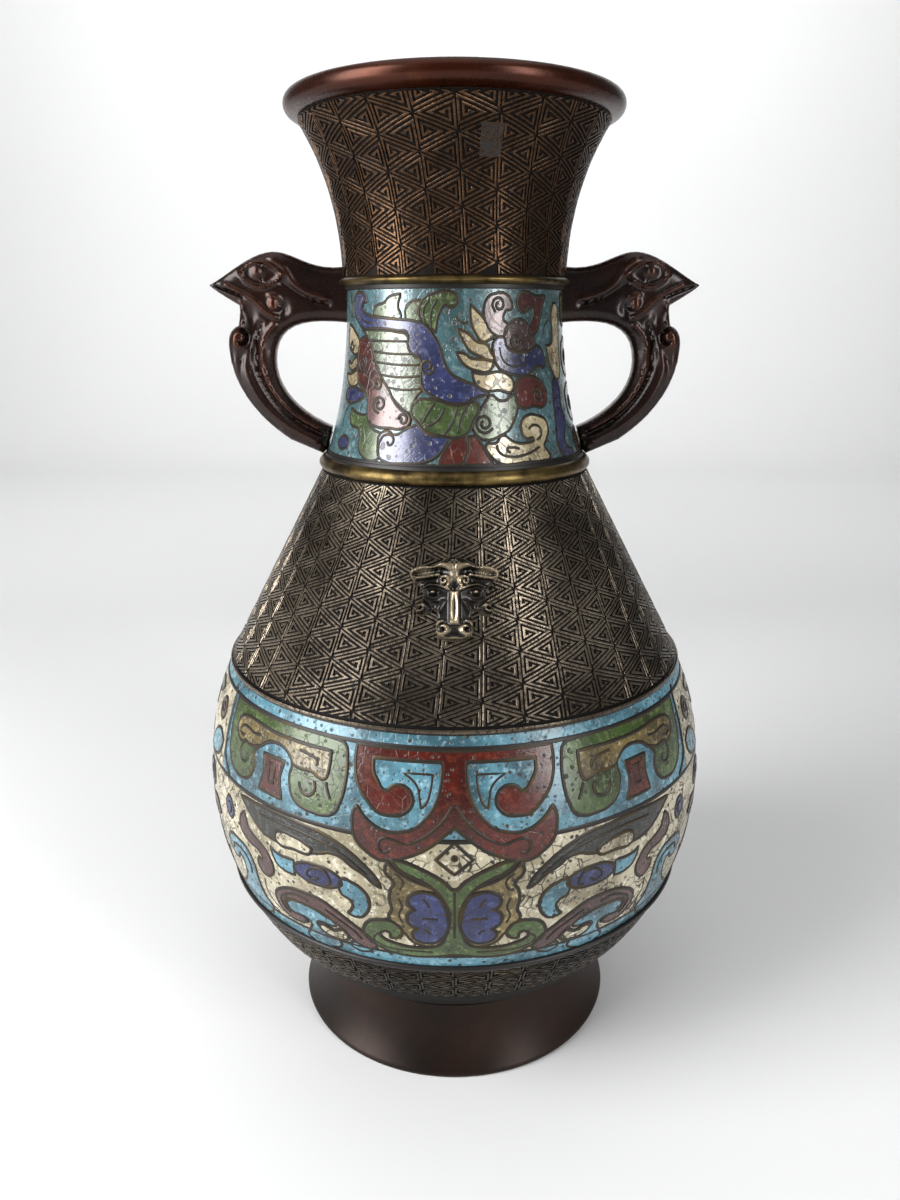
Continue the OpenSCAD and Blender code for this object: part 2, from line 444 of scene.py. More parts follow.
def triangle_spiral(corners, first, pitch, turns):
    """A line that winds into a triangle, keeping the same distance between its turns."""
    v = [np.array(c, float) for c in corners]
    side = [np.linalg.norm(v[(i + 2) % 3] - v[(i + 1) % 3]) for i in range(3)]
    a, b = v[1] - v[0], v[2] - v[0]
    twice_area = abs(a[0] * b[1] - a[1] * b[0])

    def meet(edge_a, inset_a, edge_b, inset_b):
        weight = {edge_a: side[edge_a] * inset_a, edge_b: side[edge_b] * inset_b}
        weight[3 - edge_a - edge_b] = twice_area - sum(weight.values())
        return sum(v[i] * weight[i] for i in range(3)) / twice_area

    line = [meet(2, first, 0, first)]
    for j in range(turns):
        here, there = j % 3, (j + 1) % 3
        line.append(meet(here, first + pitch * (j // 3), there, first + pitch * ((j + 1) // 3)))
    points = []
    for p, q in zip(line, line[1:]):
        points.append(list(p))
        if np.linalg.norm(q - p) > 4.5:
            points.append(list((p + q) / 2))
    return points + [list(line[-1])]


def raised_spiral(corners, pitch, turns, height, width):
    """One triangular key, drawn as a line, given a width and rounded along its top."""
    line = triangle_spiral(corners, pitch * 0.42, pitch, turns)
    crest = -width * 0.18
    fence = drawn("key", [(line, False)], crest - height / 2, height, fine=1)
    modifier(fence, "SOLIDIFY", thickness=width, offset=0, use_even_offset=True)
    edit(fence, face_out, lambda: rounded_top(width * 1.15))
    return fence


def trim(h, **side):
    """In edit mode: cuts flat work off level and closes the cut."""
    bpy.ops.mesh.select_all(action="SELECT")
    bpy.ops.mesh.bisect(plane_co=(0, -h, 0), plane_no=(0, 1, 0), use_fill=True, **side)


def fret(name, wall, h0, h1, columns, row, start, lean, pitch, turns, height, width):
    """Raised triangular keys over a band, in columns that point left and right by turns."""
    column = wall.round / columns
    right = raised_spiral([(0, 0), (0, row), (column, row / 2)], pitch, turns, height, width)
    left = raised_spiral([(column, row / 2), (column, -row / 2), (0, 0)], pitch, turns, height, width)
    shapes = []
    for c in range(columns):
        for k in range(-2, int((h1 - h0) / row) + 2):
            h = start + (k + 0.5 * (c % 2)) * row
            for key, middle in ((right, h + row / 2), (left, h)):
                if h0 - row * 0.45 < middle < h1 + row * 0.45:
                    copy = twin(key, name)
                    copy.location = ((c - columns / 2) * column, -h, 0)
                    shapes.append(copy)
    for key in (right, left):
        bpy.data.objects.remove(key)
    bpy.context.view_layer.update()
    piece = joined(shapes, name)
    alone(piece)
    bpy.ops.object.transform_apply(location=True, rotation=False, scale=False)
    edit(piece, lambda: trim(h0, clear_outer=True), lambda: trim(h1, clear_inner=True))
    wrap(piece, wall, lean)
    return smooth(piece, 30)


# ---- finishes ------------------------------------------------------------------------------------

class Flow:
    """A number that changes over a surface. Sums on it add the Math nodes that work it out."""

    def __init__(self, finish, socket):
        self.finish = finish
        self.socket = socket

    def sum_of(self, operation, a, b):
        return self.finish.node("ShaderNodeMath", {"operation": operation}, {0: a, 1: b})

    def __add__(self, other):
        return self.sum_of("ADD", self, other)

    def __radd__(self, other):
        return self.sum_of("ADD", other, self)

    def __sub__(self, other):
        return self.sum_of("SUBTRACT", self, other)

    def __rsub__(self, other):
        return self.sum_of("SUBTRACT", other, self)

    def __mul__(self, other):
        return self.sum_of("MULTIPLY", self, other)

    def __rmul__(self, other):
        return self.sum_of("MULTIPLY", other, self)

    def most(self, other):
        return self.sum_of("MAXIMUM", self, other)

    def step(self, low, high):
        """0 below low, 1 above high, and smooth between them."""
        return self.finish.node("ShaderNodeMapRange", {"interpolation_type": "SMOOTHSTEP"},
                                {"Value": self, "From Min": low, "From Max": high})


class Finish:
    """One procedural material."""

    def __init__(self, name):
        self.material = bpy.data.materials.new(name)
        self.material.use_nodes = True
        self.tree = self.material.node_tree
        self.surface = self.tree.nodes["Principled BSDF"]
        self.place = self.node("ShaderNodeTexCoord", {}, {}, "Object")
        self.flat = self.node("ShaderNodeAttribute", {"attribute_name": "flat"}, {}, "Vector")

    def node(self, kind, settings, sockets, out=0):
        """Adds a node: its settings first, then the values or links of its sockets."""
        node = self.tree.nodes.new(kind)
        for key, value in settings.items():
            setattr(node, key, value)
        for key, value in sockets.items():
            self.feed(node.inputs[key], value)
        return Flow(self, node.outputs[out])

    def feed(self, socket, value):
        if isinstance(value, Flow):
            self.tree.links.new(value.socket, socket)
        else:
            socket.default_value = value

    def noise(self, scale, detail=3, rough=0.55, stretch=None):
        place = self.place
        if stretch:
            place = self.node("ShaderNodeMapping", {}, {"Vector": place, "Scale": stretch})
        return self.node("ShaderNodeTexNoise", {},
                         {"Vector": place, "Scale": scale, "Detail": detail, "Roughness": rough})

    def spots(self, scale):
        """Distance from the nearest of many scattered points."""
        return self.node("ShaderNodeTexVoronoi", {}, {"Vector": self.place, "Scale": scale})

    def bent_place(self, distance, scale):
        """Object coordinates, shaken a little so that straight patterns wander."""
        shake = self.node("ShaderNodeTexNoise", {}, {"Vector": self.place, "Scale": scale}, "Color")
        shake = self.node("ShaderNodeVectorMath", {"operation": "SCALE"}, {0: shake, "Scale": distance})
        return self.node("ShaderNodeVectorMath", {"operation": "ADD"}, {0: self.place, 1: shake})

    def blend(self, share, a, b):
        a = a if isinstance(a, Flow) else (*a, 1)
        b = b if isinstance(b, Flow) else (*b, 1)
        return self.node("ShaderNodeMix", {"data_type": "RGBA"}, {"Factor": share, 6: a, 7: b}, 2)

    def bump(self, height, distance, strength=1.0):
        return self.node("ShaderNodeBump", {},
                         {"Height": height, "Distance": distance * MM, "Strength": strength})

    def finish(self, **sockets):
        for key, value in sockets.items():
            self.feed(self.surface.inputs[key.replace("_", " ")], value)
        return self.material


def tone(code):
    """Linear colour of a hex tone."""
    parts = [int(code[i:i + 2], 16) / 255 for i in (0, 2, 4)]
    return tuple(p / 12.92 if p <= 0.04045 else ((p + 0.055) / 1.055) ** 2.4 for p in parts)


def part_z(f, vector):
    return f.node("ShaderNodeSeparateXYZ", {}, {"Vector": vector}, 2)


def fret_finish(name, groove_deep, groove_pale, ridge_deep, ridge_pale):
    """Bronze that is near black in the grooves, from dark patina and painted shade, and pale along the
    ridges, from rubbing and a painted highlight.
    """
    f = Finish(name)
    crest = part_z(f, f.flat).step(-0.3, -0.08)
    clouds = f.noise(26, 4).step(0.32, 0.7)
    grain = f.noise(900, 4, 0.6)
    # ridge tops lighter: wear plus a painted highlight
    rubbed = crest * (0.68 + 0.32 * clouds) * grain.step(0.28, 0.56)
    # groove tones: dark patina plus painted shade
    groove = f.blend(f.noise(300, 3).step(0.4, 0.7), tone(groove_deep), tone(groove_pale))
    colour = f.blend(rubbed, groove, f.blend(clouds, tone(ridge_deep), tone(ridge_pale)))
    f.surface.inputs["Specular IOR Level"].default_value = 0.15
    return f.finish(Base_Color=colour, Metallic=0.1 + 0.8 * rubbed,
                    Roughness=0.6 - 0.4 * crest + 0.12 * grain,
                    Normal=f.bump(grain * 0.7 + f.noise(2600, 2) * 0.3, 0.14, 0.8))


def smooth_bronze(name, dark, light, wear, rough, metal):
    """Plain patinated bronze with cloudy tone, fine scratches and rubbed patches."""
    f = Finish(name)
    clouds = f.noise(30, 4).step(0.3, 0.72)
    grain = f.noise(1400, 3, 0.6)
    streaks = f.noise(160, 3, 0.6, stretch=(1, 1, 6))
    base = f.blend(clouds, tone(dark), tone(light))
    rubbed = f.noise(75, 5, 0.65).step(0.56, 0.78) * 0.25
    colour = f.blend(rubbed, base, tone(wear))
    spots = f.spots(220).step(0.0, 0.16)
    return f.finish(Base_Color=colour, Metallic=metal,
                    Roughness=rough + 0.1 * (grain - 0.5) + 0.1 * (streaks - 0.5) + 0.05 * clouds,
                    Normal=f.bump(grain * 0.35 + spots * 0.25 + streaks * 0.3, 0.1, 0.5))


def relief_bronze(name, dark, light, high, metal):
    """Cast bronze whose raised parts are rubbed bright. It reads how proud each point stands; on the
    mask that also holds a painted highlight along the outline.
    """
    f = Finish(name)
    proud = part_z(f, f.flat)
    clouds = f.noise(60, 4).step(0.3, 0.7)
    grain = f.noise(1200, 3, 0.6)
    rubbed = proud.step(0.3, 0.9) * (0.5 + 0.5 * clouds)
    colour = f.blend(rubbed, f.blend(clouds, tone(dark), tone(light)), tone(high))
    return f.finish(Base_Color=colour, Metallic=metal + 0.5 * rubbed, Roughness=0.2 + 0.12 * grain,
                    Normal=f.bump(grain * 0.3 + f.noise(420, 3) * 0.5, 0.1, 0.4))


def cell_bronze():
    """The bronze of the cell walls: dark at their feet, and rubbed to olive brass along their tops."""
    f = Finish("cell_bronze")
    top = f.node("ShaderNodeAttribute", {"attribute_name": "crest"}, {}, "Fac").step(0.45, 1.0)
    patina = f.noise(110, 4, 0.6).step(0.27, 0.57)
    grain = f.noise(1500, 3)
    bright = top * (1 - 0.85 * patina)
    colour = f.blend(bright, tone("0e0905"), tone("473a24"))
    return f.finish(Base_Color=colour, Metallic=0.2 + 0.6 * bright, Roughness=0.36 + 0.16 * grain,
                    Normal=f.bump(grain, 0.06, 0.5))


def worn_brass():
    f = Finish("worn_brass")
    patina = f.noise(140, 4, 0.6).step(0.34, 0.68)
    grain = f.noise(1500, 3)
    colour = f.blend(patina, tone("6c5b36"), tone("2a200f"))
    return f.finish(Base_Color=colour, Metallic=0.9, Roughness=0.27 + 0.16 * grain,
                    Normal=f.bump(grain, 0.06, 0.5))


def enamel(name, main, deep, pale, stain, stains, pits, crazed=0.3, gloss=0.0):
    """Fired glass paste: mottled, dusty, stained and pitted down to brown."""
    f = Finish(name)
    broad = f.noise(55, 4, 0.6)
    fine = f.noise(420, 4, 0.65)
    dust = f.noise(1500, 3, 0.7)
    colour = f.blend(broad.step(0.34, 0.66), tone(deep), tone(main))
    colour = f.blend(fine.step(0.5, 0.74) * 0.7, colour, tone(pale))
    soiled = f.noise(95, 5, 0.7).step(0.51, 0.7) * stains
    colour = f.blend(soiled * dust.step(0.35, 0.6), colour, tone(stain))
    hole = 1 - f.spots(300).step(0.12, 0.25)
    hole = hole * f.noise(130, 2).step(0.6 - 0.2 * pits, 0.7 - 0.2 * pits)
    fleck = 1 - f.spots(560).step(0.15, 0.3)
    fleck = fleck * f.noise(260, 2).step(0.56 - 0.14 * pits, 0.66 - 0.14 * pits)
    crack = f.node("ShaderNodeTexVoronoi", {"feature": "DISTANCE_TO_EDGE"},
                   {"Vector": f.bent_place(0.003, 200), "Scale": 260.0})
    crack = (1 - crack.step(0.01, 0.06)) * f.noise(60, 2).step(0.4, 0.6) * crazed
    pitted = hole.most(fleck * 0.8).most(crack)
    colour = f.blend(pitted, colour, tone("20170e"))
    height = broad * 0.8 + fine * 0.35 + dust * 0.12 - pitted * 1.3
    return f.finish(Base_Color=colour, Metallic=0.25 * gloss,
                    Roughness=0.14 + 0.25 * fine + 0.3 * pitted,
                    Normal=f.bump(height, 0.22, 0.6), Specular_IOR_Level=0.55 + 0.45 * gloss,
                    Coat_Weight=0.7 * gloss, Coat_Roughness=0.24)


FINISH = {
    # fret finishes: groove tones near black as painted shade over the patina, ridge tones pale as
    # painted highlight over the wear
    "fret_bronze": fret_finish("fret_bronze", "030201", "0c0805", "463d33", "8c8070"),
    "flare_bronze": fret_finish("flare_bronze", "060301", "150b06", "3a291c", "57412f"),
    "bowl_bronze": fret_finish("bowl_bronze", "050402", "0f0c07", "231d16", "403729"),
    "cell_bronze": cell_bronze(),
    "worn_brass": worn_brass(),
    "foot_bronze": smooth_bronze("foot_bronze", "140a05", "26150b", "46301c", 0.4, 0.65),
    "lip_bronze": smooth_bronze("lip_bronze", "260900", "401803", "6c3e18", 0.26, 0.65),
    "handle_bronze": relief_bronze("handle_bronze", "0c0503", "230f08", "4a2a1c", 0.4),
    "mask_bronze": relief_bronze("mask_bronze", "0a0806", "1a140e", "b0a084", 0.25),
    "patch_bronze": smooth_bronze("patch_bronze", "15100d", "231c17", "483e36", 0.42, 0.4),
}
SLOT = {
    "pale_green_enamel": "green_enamel",
    "flare_bronze": "fret_bronze",
    "bowl_bronze": "fret_bronze",
}
PASTE = {
    "turquoise_enamel": ("568494", "2e4c56", "92b4c0", "241c12", 0.85, 1.3),
    "white_enamel": ("b0a890", "766e56", "e6e1d2", "2a2016", 1.0, 1.35, 1.0),
    "red_enamel": ("4c1408", "300b04", "6c2c16", "160a04", 0.7, 0.6),
    "green_enamel": ("3c5024", "263214", "6c7a46", "18160a", 0.7, 0.8),
    "pale_green_enamel": ("546245", "3a4530", "828e70", "201c0e", 0.9, 1.2),
    "yellow_enamel": ("70623a", "3c321a", "b8a87a", "1e170a", 0.9, 1.1),
    "blue_enamel": ("282f5a", "161a3a", "4c5680", "101016", 0.7, 0.8),
    "mauve_enamel": ("482e2a", "301c1a", "704e4c", "1a0e0b", 0.7, 0.8),
    "slate_enamel": ("2a2c28", "1a1b18", "545650", "0e0c08", 0.8, 0.8),
    "cream_enamel": ("b0a27e", "807050", "ded4b8", "302616", 0.9, 1.2, 0.7),
}
NECK_TURQUOISE = ("44666c", "28403f", "7a9ba0", "1c160c", 1.0, 1.4)
NECK_PITS = 1.2
for paste, tones in PASTE.items():
    FINISH[paste] = enamel(paste, *tones)
    if paste == "turquoise_enamel":
        tones = NECK_TURQUOISE
    on_neck = "neck_" + paste
    FINISH[on_neck] = enamel(on_neck, *tones[:5], tones[5] * NECK_PITS, *tones[6:], gloss=1.0)
    SLOT[on_neck] = SLOT.get(paste, paste)


# ---- the belly's pattern -------------------------------------------------------------------------
# The right half of the front: x from the middle, and h down from the edge. A cell is (enamel, layer,
# outline). A line is (points, closed, layer, width).

RED_CAP = [
    (0, 5.5), [30, 5.5], (30, 10), (29, 15), (27.5, 18), (25, 21), (22, 23.5), (18, 24), (15, 23.5),
    (13, 22), (12, 20), (12.5, 17.5), (14, 16), (16, 15.5), (18, 16), [19.5, 17.5], (21, 17),
    (22.5, 15), (24, 12.5), [24.5, 8.5], [3.5, 8.5], (3.5, 12), (4, 16), (5, 19.5), (6.5, 22.5),
    (8.5, 25), (11.5, 27.5), (14.5, 28.5), (18, 29), (21, 28.5), (24, 27), (26.5, 25), [28.5, 22.5],
    (29.5, 25), (29.5, 28), (29, 31), (27.5, 33.5), (25, 35.5), (22.5, 37), (20, 37.5), (17, 37),
    (14, 36), (10.5, 34.5), (6.5, 32), (3, 29), [0, 26.5]]
LEAF = [
    (0, 45.5), (3, 43), (6, 41), (10, 39), (14, 37.5), [18, 37], (15, 40), (11, 42), (8, 43.5),
    (5, 46), (3, 49), (1.5, 53), (1.5, 58), (2.5, 62), (4, 65.5), (7, 67), (14, 67.5), (18.5, 66.5),
    (21, 65.5), (22.5, 63.5), (21, 62), (19.5, 62), [19, 64.5], (17, 64), (15.5, 62), (16, 60),
    (18.5, 58), (22, 58), (25, 59), (27, 61.5), (27.5, 64.5), (25.5, 67.5), (22, 69.5), (18, 71),
    (12, 71.5), (6, 71), (0, 70)]

HALF_CELLS = [
    ("green", 1, [
        (34, 6.5), (36.5, 5.5), [89, 5.5], (88, 9.5), (87.5, 15.5), (86.5, 19), (85, 23), (82.5, 25.5),
        (79, 27), (75.5, 27), (72, 26), (69.5, 23), (69, 20), (70, 17.5), (67.5, 14.5), (64.5, 12.5),
        (60.5, 11.5), (56, 12), (53, 14), (52, 16), (52.5, 19), (52, 22), (50.5, 25), (47, 27),
        (43, 27.5), (39, 27.5), (35.5, 26), (34, 23), (33, 20), (33, 9)]),
    ("yellow", 2, [
        [38.5, 9], (60, 9), (80, 9), (82.5, 10.5), (83, 13), (81, 15.5), (78, 16.5), (76, 15.5),
        [73.5, 16], (70.5, 15.5), (67.5, 14.5), (64.5, 12.5), (60.5, 11.5), (56, 12), (53, 14),
        (51.5, 15.5), (48.5, 16), (44, 16), (41.5, 17), (39.5, 17), (38.5, 14)]),
    ("red", 1, [[55.5, 16], [65, 16], (64, 21), [65.5, 27], [55, 27], (56.5, 21)]),
    ("yellow", 1, [
        [19, 38], (19.5, 41), (17, 44.5), (18, 46.5), (18.5, 50), (18, 53.5), (19, 56), (18, 58.5),
        (14.5, 62), (12.5, 65), (9, 66.5), (5, 66), (2, 60), (2, 52), (5, 46), (12, 43), (15.5, 41)]),
    ("blue", 3, [
        (3.5, 49.5), (5, 47.5), (8, 46.5), (11, 47), (13, 49), (12.5, 51.5), [11, 52.5], (13, 54),
        (13.5, 56.5), (12.5, 58.5), [10.5, 59.5], (12, 61), (12, 63), (10.5, 64.5), (8, 65),
        (5.5, 64.5), (3.5, 62.5), (2, 59.5), (2, 55)]),
    ("slate", 1, [
        [21, 46.5], (22.5, 43.5), (26, 40), (30, 37), (35, 34.5), (40, 33), (46, 32.5), (54, 32),
        (68, 32.5), [75, 33], (72, 35), (68.5, 37.5), (64, 40), (58, 41), (42.5, 40), (40, 39.5),
        (37, 38.5), (33, 39), (30, 41), (26, 43), (23, 45.5)]),
    ("white", 2, [(43, 39.5), (45, 38), (50, 37), (56, 37.5), (57, 39), (56, 41), (50, 41)]),
    ("blue", 1, [
        (33, 47.5), (35.5, 45), (41.5, 44), (47.5, 45), (50, 47.5), (47.5, 49.5), (41.5, 50.5),
        (35.5, 49.5)]),
    ("turquoise", 1, [
        (33, 46), (30, 46.5), (27, 48), (25, 51), (25, 54), (26.5, 57), (28.5, 58.5), [32, 58],
        (30.5, 56), (30, 54), (31, 52.5), (33.5, 51)]),
    ("turquoise", 1, [[50, 45], (57.5, 45), [59.5, 44], (59, 46), (57, 49), (54, 50), [50, 50]]),
    ("turquoise", 1, [
        (37, 64), (41, 62), (46, 60.5), (51, 60.5), (55.5, 62), (56, 64), (54, 66), (48, 66),
        (47, 67.5), (48.5, 71), (50, 74.5), (38, 74.5), (37, 71.5), (41, 70.5), (43.5, 68.5),
        (44.5, 66)]),
    ("mauve", 2, [
        (24.5, 70), (26.5, 65), (29, 63.5), (33, 60.5), (37, 58), (41, 56), (46, 55.5), (52, 56),
        (57, 58), (60.5, 61), (61, 64), (59.5, 67), (56, 69), (52, 69), [48.5, 67.5], (50, 66),
        (54, 66), (56.5, 64.5), (57, 62), (54.5, 60.5), (50, 60), (46, 60), (41, 61), (37, 63.5),
        (34, 65.5), (32.5, 67.5), (31, 69.5)]),
    ("white", 3, [
        (35, 65.5), (38, 67), (42.5, 66), (43.5, 67), (42, 69), (38.5, 70), (34.5, 69.5), [33, 68]]),
    ("turquoise", 1, [(26, 71), (29.5, 69.5), (33, 71), (31.5, 73), (28, 73)]),
    ("mauve", 1, [
        [73, 37.5], (76, 41), (75.5, 44.5), (71, 47), (66, 48), (64.5, 50), (67, 51.5), (67, 54),
        (64, 56), (61, 54.5), (59.5, 51.5), (60.5, 48.5), (62.5, 46), (67, 44), (71, 42), (72, 40)]),
    ("blue", 1, [
        (83.5, 37), (85.5, 38), (86.5, 40.5), (85.5, 43), (83.5, 44), (81.5, 43), (80.5, 40.5),
        (81.5, 38)]),
    ("turquoise", 1, [
        (66, 71), (69, 66), (70, 60), (70.5, 54.5), (73.5, 51), (78.5, 50), (84.5, 50.5), (88, 53),
        (88, 56.5), (85, 58.5), (82, 58), (80.5, 56), (78, 57), (77.5, 60), (79, 64), (83, 68),
        (86, 71)]),
]

HALF_LINES = [
    ([
        (0.5, 20.5), (3, 24.5), (7, 28.5), (11, 31), (14, 32), (17.5, 31), (20.5, 31), (21.5, 33),
        (20.5, 35), (18.5, 34.5)], False, 2, 0.9),
    ([
        [6.5, 12], [15, 12], (12, 14), (10.5, 16), (10, 18.5), [9.5, 21.5], (8, 20), (7, 17),
        (6.5, 14)], True, 0, 0.9),
    ([(15, 12), (21, 12), (21.5, 13), (21.5, 15)], False, 0, 1.3),
    ([(43, 18.5), (42.5, 20.5), (43.5, 22.5), (46, 23), (48, 21.5), (48.5, 20)], False, 2, 1),
    ([(39, 18), (38, 20.5), (37, 22.5)], False, 2, 0.9),
    ([(72.5, 16), (76, 16), (78, 18), (77.5, 20.5), (75.5, 22), (73.5, 20.5), (74, 19)], False, 2, 1),
    ([
        (68, 11.5), (72, 12), (76, 11.5), (79.5, 12), (80.5, 13.5), (78.5, 14.5),
        (77, 14)], False, 3, 0.9),
    ([(50, 11), (46, 11.5), (43, 12.5), (42.5, 14)], False, 3, 0.9),
    ([[59, 18], [61.5, 18], [61.5, 23.5], [59, 23.5]], True, 2, 0.9),
    ([
        (84, 30), (87, 27.5), (89.5, 24.5), (90, 20.5), (90.5, 15.5), (91, 9.5), (92, 5),
        (93.5, 3)], False, 2, 1.2),
    ([(4.5, 55.5), (9.5, 55.5)], False, 3, 1.2),
    ([(7, 51.5), (8, 49.5), (9, 48.5)], False, 3, 1),
    ([(7, 61.5), (8, 60), (9, 60)], False, 3, 1),
    ([
        (38.5, 49.5), (37, 48.5), (37.5, 46.5), (39, 45), (42, 45), (44.5, 46.5), (45, 48), (42.5, 49),
        (41, 48)], False, 2, 0.9),
    ([(83.5, 42.5), (82.5, 41), (83, 39), (84.5, 39)], False, 2, 0.9),
    ([(65.5, 58), (66, 62), (64, 66), (60, 69)], False, 0, 0.9),
    ([(25, 43), (30, 39.5), (36, 36.5), (44, 35), (54, 34.5), (64, 35)], False, 2, 0.9),
    ([(23, 63.5), (24.5, 65.5), (22.5, 68), (18.5, 69), (12.5, 69), (6.5, 69)], False, 2, 0.9),
    ([(17, 41), (14.5, 43.5), (15.5, 46.5)], False, 1, 0.9),
    ([(15, 58), (16, 55), (15, 52), (16, 49)], False, 1, 0.9),
    ([(46, 58), (51, 57.5), (55.5, 59.5), (58.5, 62), (58, 65), (55.5, 67)], False, 3, 0.9),
    ([(28.5, 67.5), (31, 64.5), (35.5, 61.5), (40, 59)], False, 3, 0.9),
    ([(73.5, 60), (73, 56.5), (75.5, 53.5), (80, 53), (84, 54), (85, 56)], False, 2, 0.9),
    ([(62, 72), (64.5, 69.5), (68, 74.5)], False, 0, 0.9),
]

# The panel between the front and the back, as the half that lies before its middle.

SIDE_CELLS = [
    ("mauve", 2, [
        (96.5, 13), (98, 10.5), (100.5, 10), (103, 11.5), (103, 14.5), (101, 16.5), (98, 16)]),
    ("turquoise", 2, [
        [93, 22], (97, 20), (102, 21), (106, 24), [110, 29], (105, 29.5), (99, 28.5), (95, 26)]),
    ("green", 2, [
        [108, 9], (113, 8), (119, 8.5), (124, 11), (126, 15), (123, 18.5), (118.5, 18), (118.5, 15),
        [121, 14.5], (118, 12), (113, 12)]),
    ("blue", 2, [
        (101, 36), (104.5, 33.5), (109, 34.5), (111, 38), (108.5, 41.5), (104, 41.5), (101, 39.5)]),
    ("mauve", 2, [
        [95, 48], (98, 44.5), (103, 45), (109, 47), (115, 46), (120, 42.5), [124, 37], (124.5, 43),
        (122, 48.5), (116.5, 52.5), (109.5, 53.5), (102.5, 52)]),
    ("turquoise", 2, [
        (100, 72), (99, 66), (101.5, 60.5), (107, 57.5), (113.5, 58), (118, 61.5), (118.5, 66),
        (115, 69), (110.5, 68), (110, 65), [112.5, 64.5], (109, 62.5), (105.5, 65), (105.5, 69),
        (108, 72.5)]),
]

SIDE_LINES = [
    ([(99, 14.5), (99, 12), (101, 12), (102, 13.5), (100.5, 14.5)], False, 3, 0.9),
    ([(103.5, 39.5), (103.5, 36.5), (106.5, 36), (108.5, 38), (107.5, 39.5)], False, 3, 0.9),
    ([(99, 49), (105, 49.5), (112, 50), (118, 47)], False, 3, 0.9),
    ([(112, 26), (118, 24), (124, 25.5), (128, 30), (133.5, 33)], False, 1, 0.9),
    ([(93.5, 60), (95.5, 64), (95, 69), (93.5, 73)], False, 1, 0.9),
    ([(103, 70), (102.5, 65.5), (106.5, 61), (112, 61), (115.5, 64)], False, 3, 0.9),
]

# Whole shapes on a panel's middle.

MIDDLE_CELLS = [
    ("red", 2, [
        [133.5, 6], (137, 10), (139.5, 15), (138, 20), [133.5, 24], (129, 20), (127.5, 15),
        (130, 10)]),
    ("yellow", 2, [[133.5, 36], (137, 39.5), (137, 45), [133.5, 49], (130, 45), (130, 39.5)]),
    ("green", 2, [
        [133.5, 54], (138, 57), (142, 62), (142, 67.5), (138, 70.5), [133.5, 68], (129, 70.5),
        (125, 67.5), (125, 62), (129, 57)]),
]


# ---- the neck's pattern --------------------------------------------------------------------------
# The whole front: x from the middle, and h down from the neck's top.

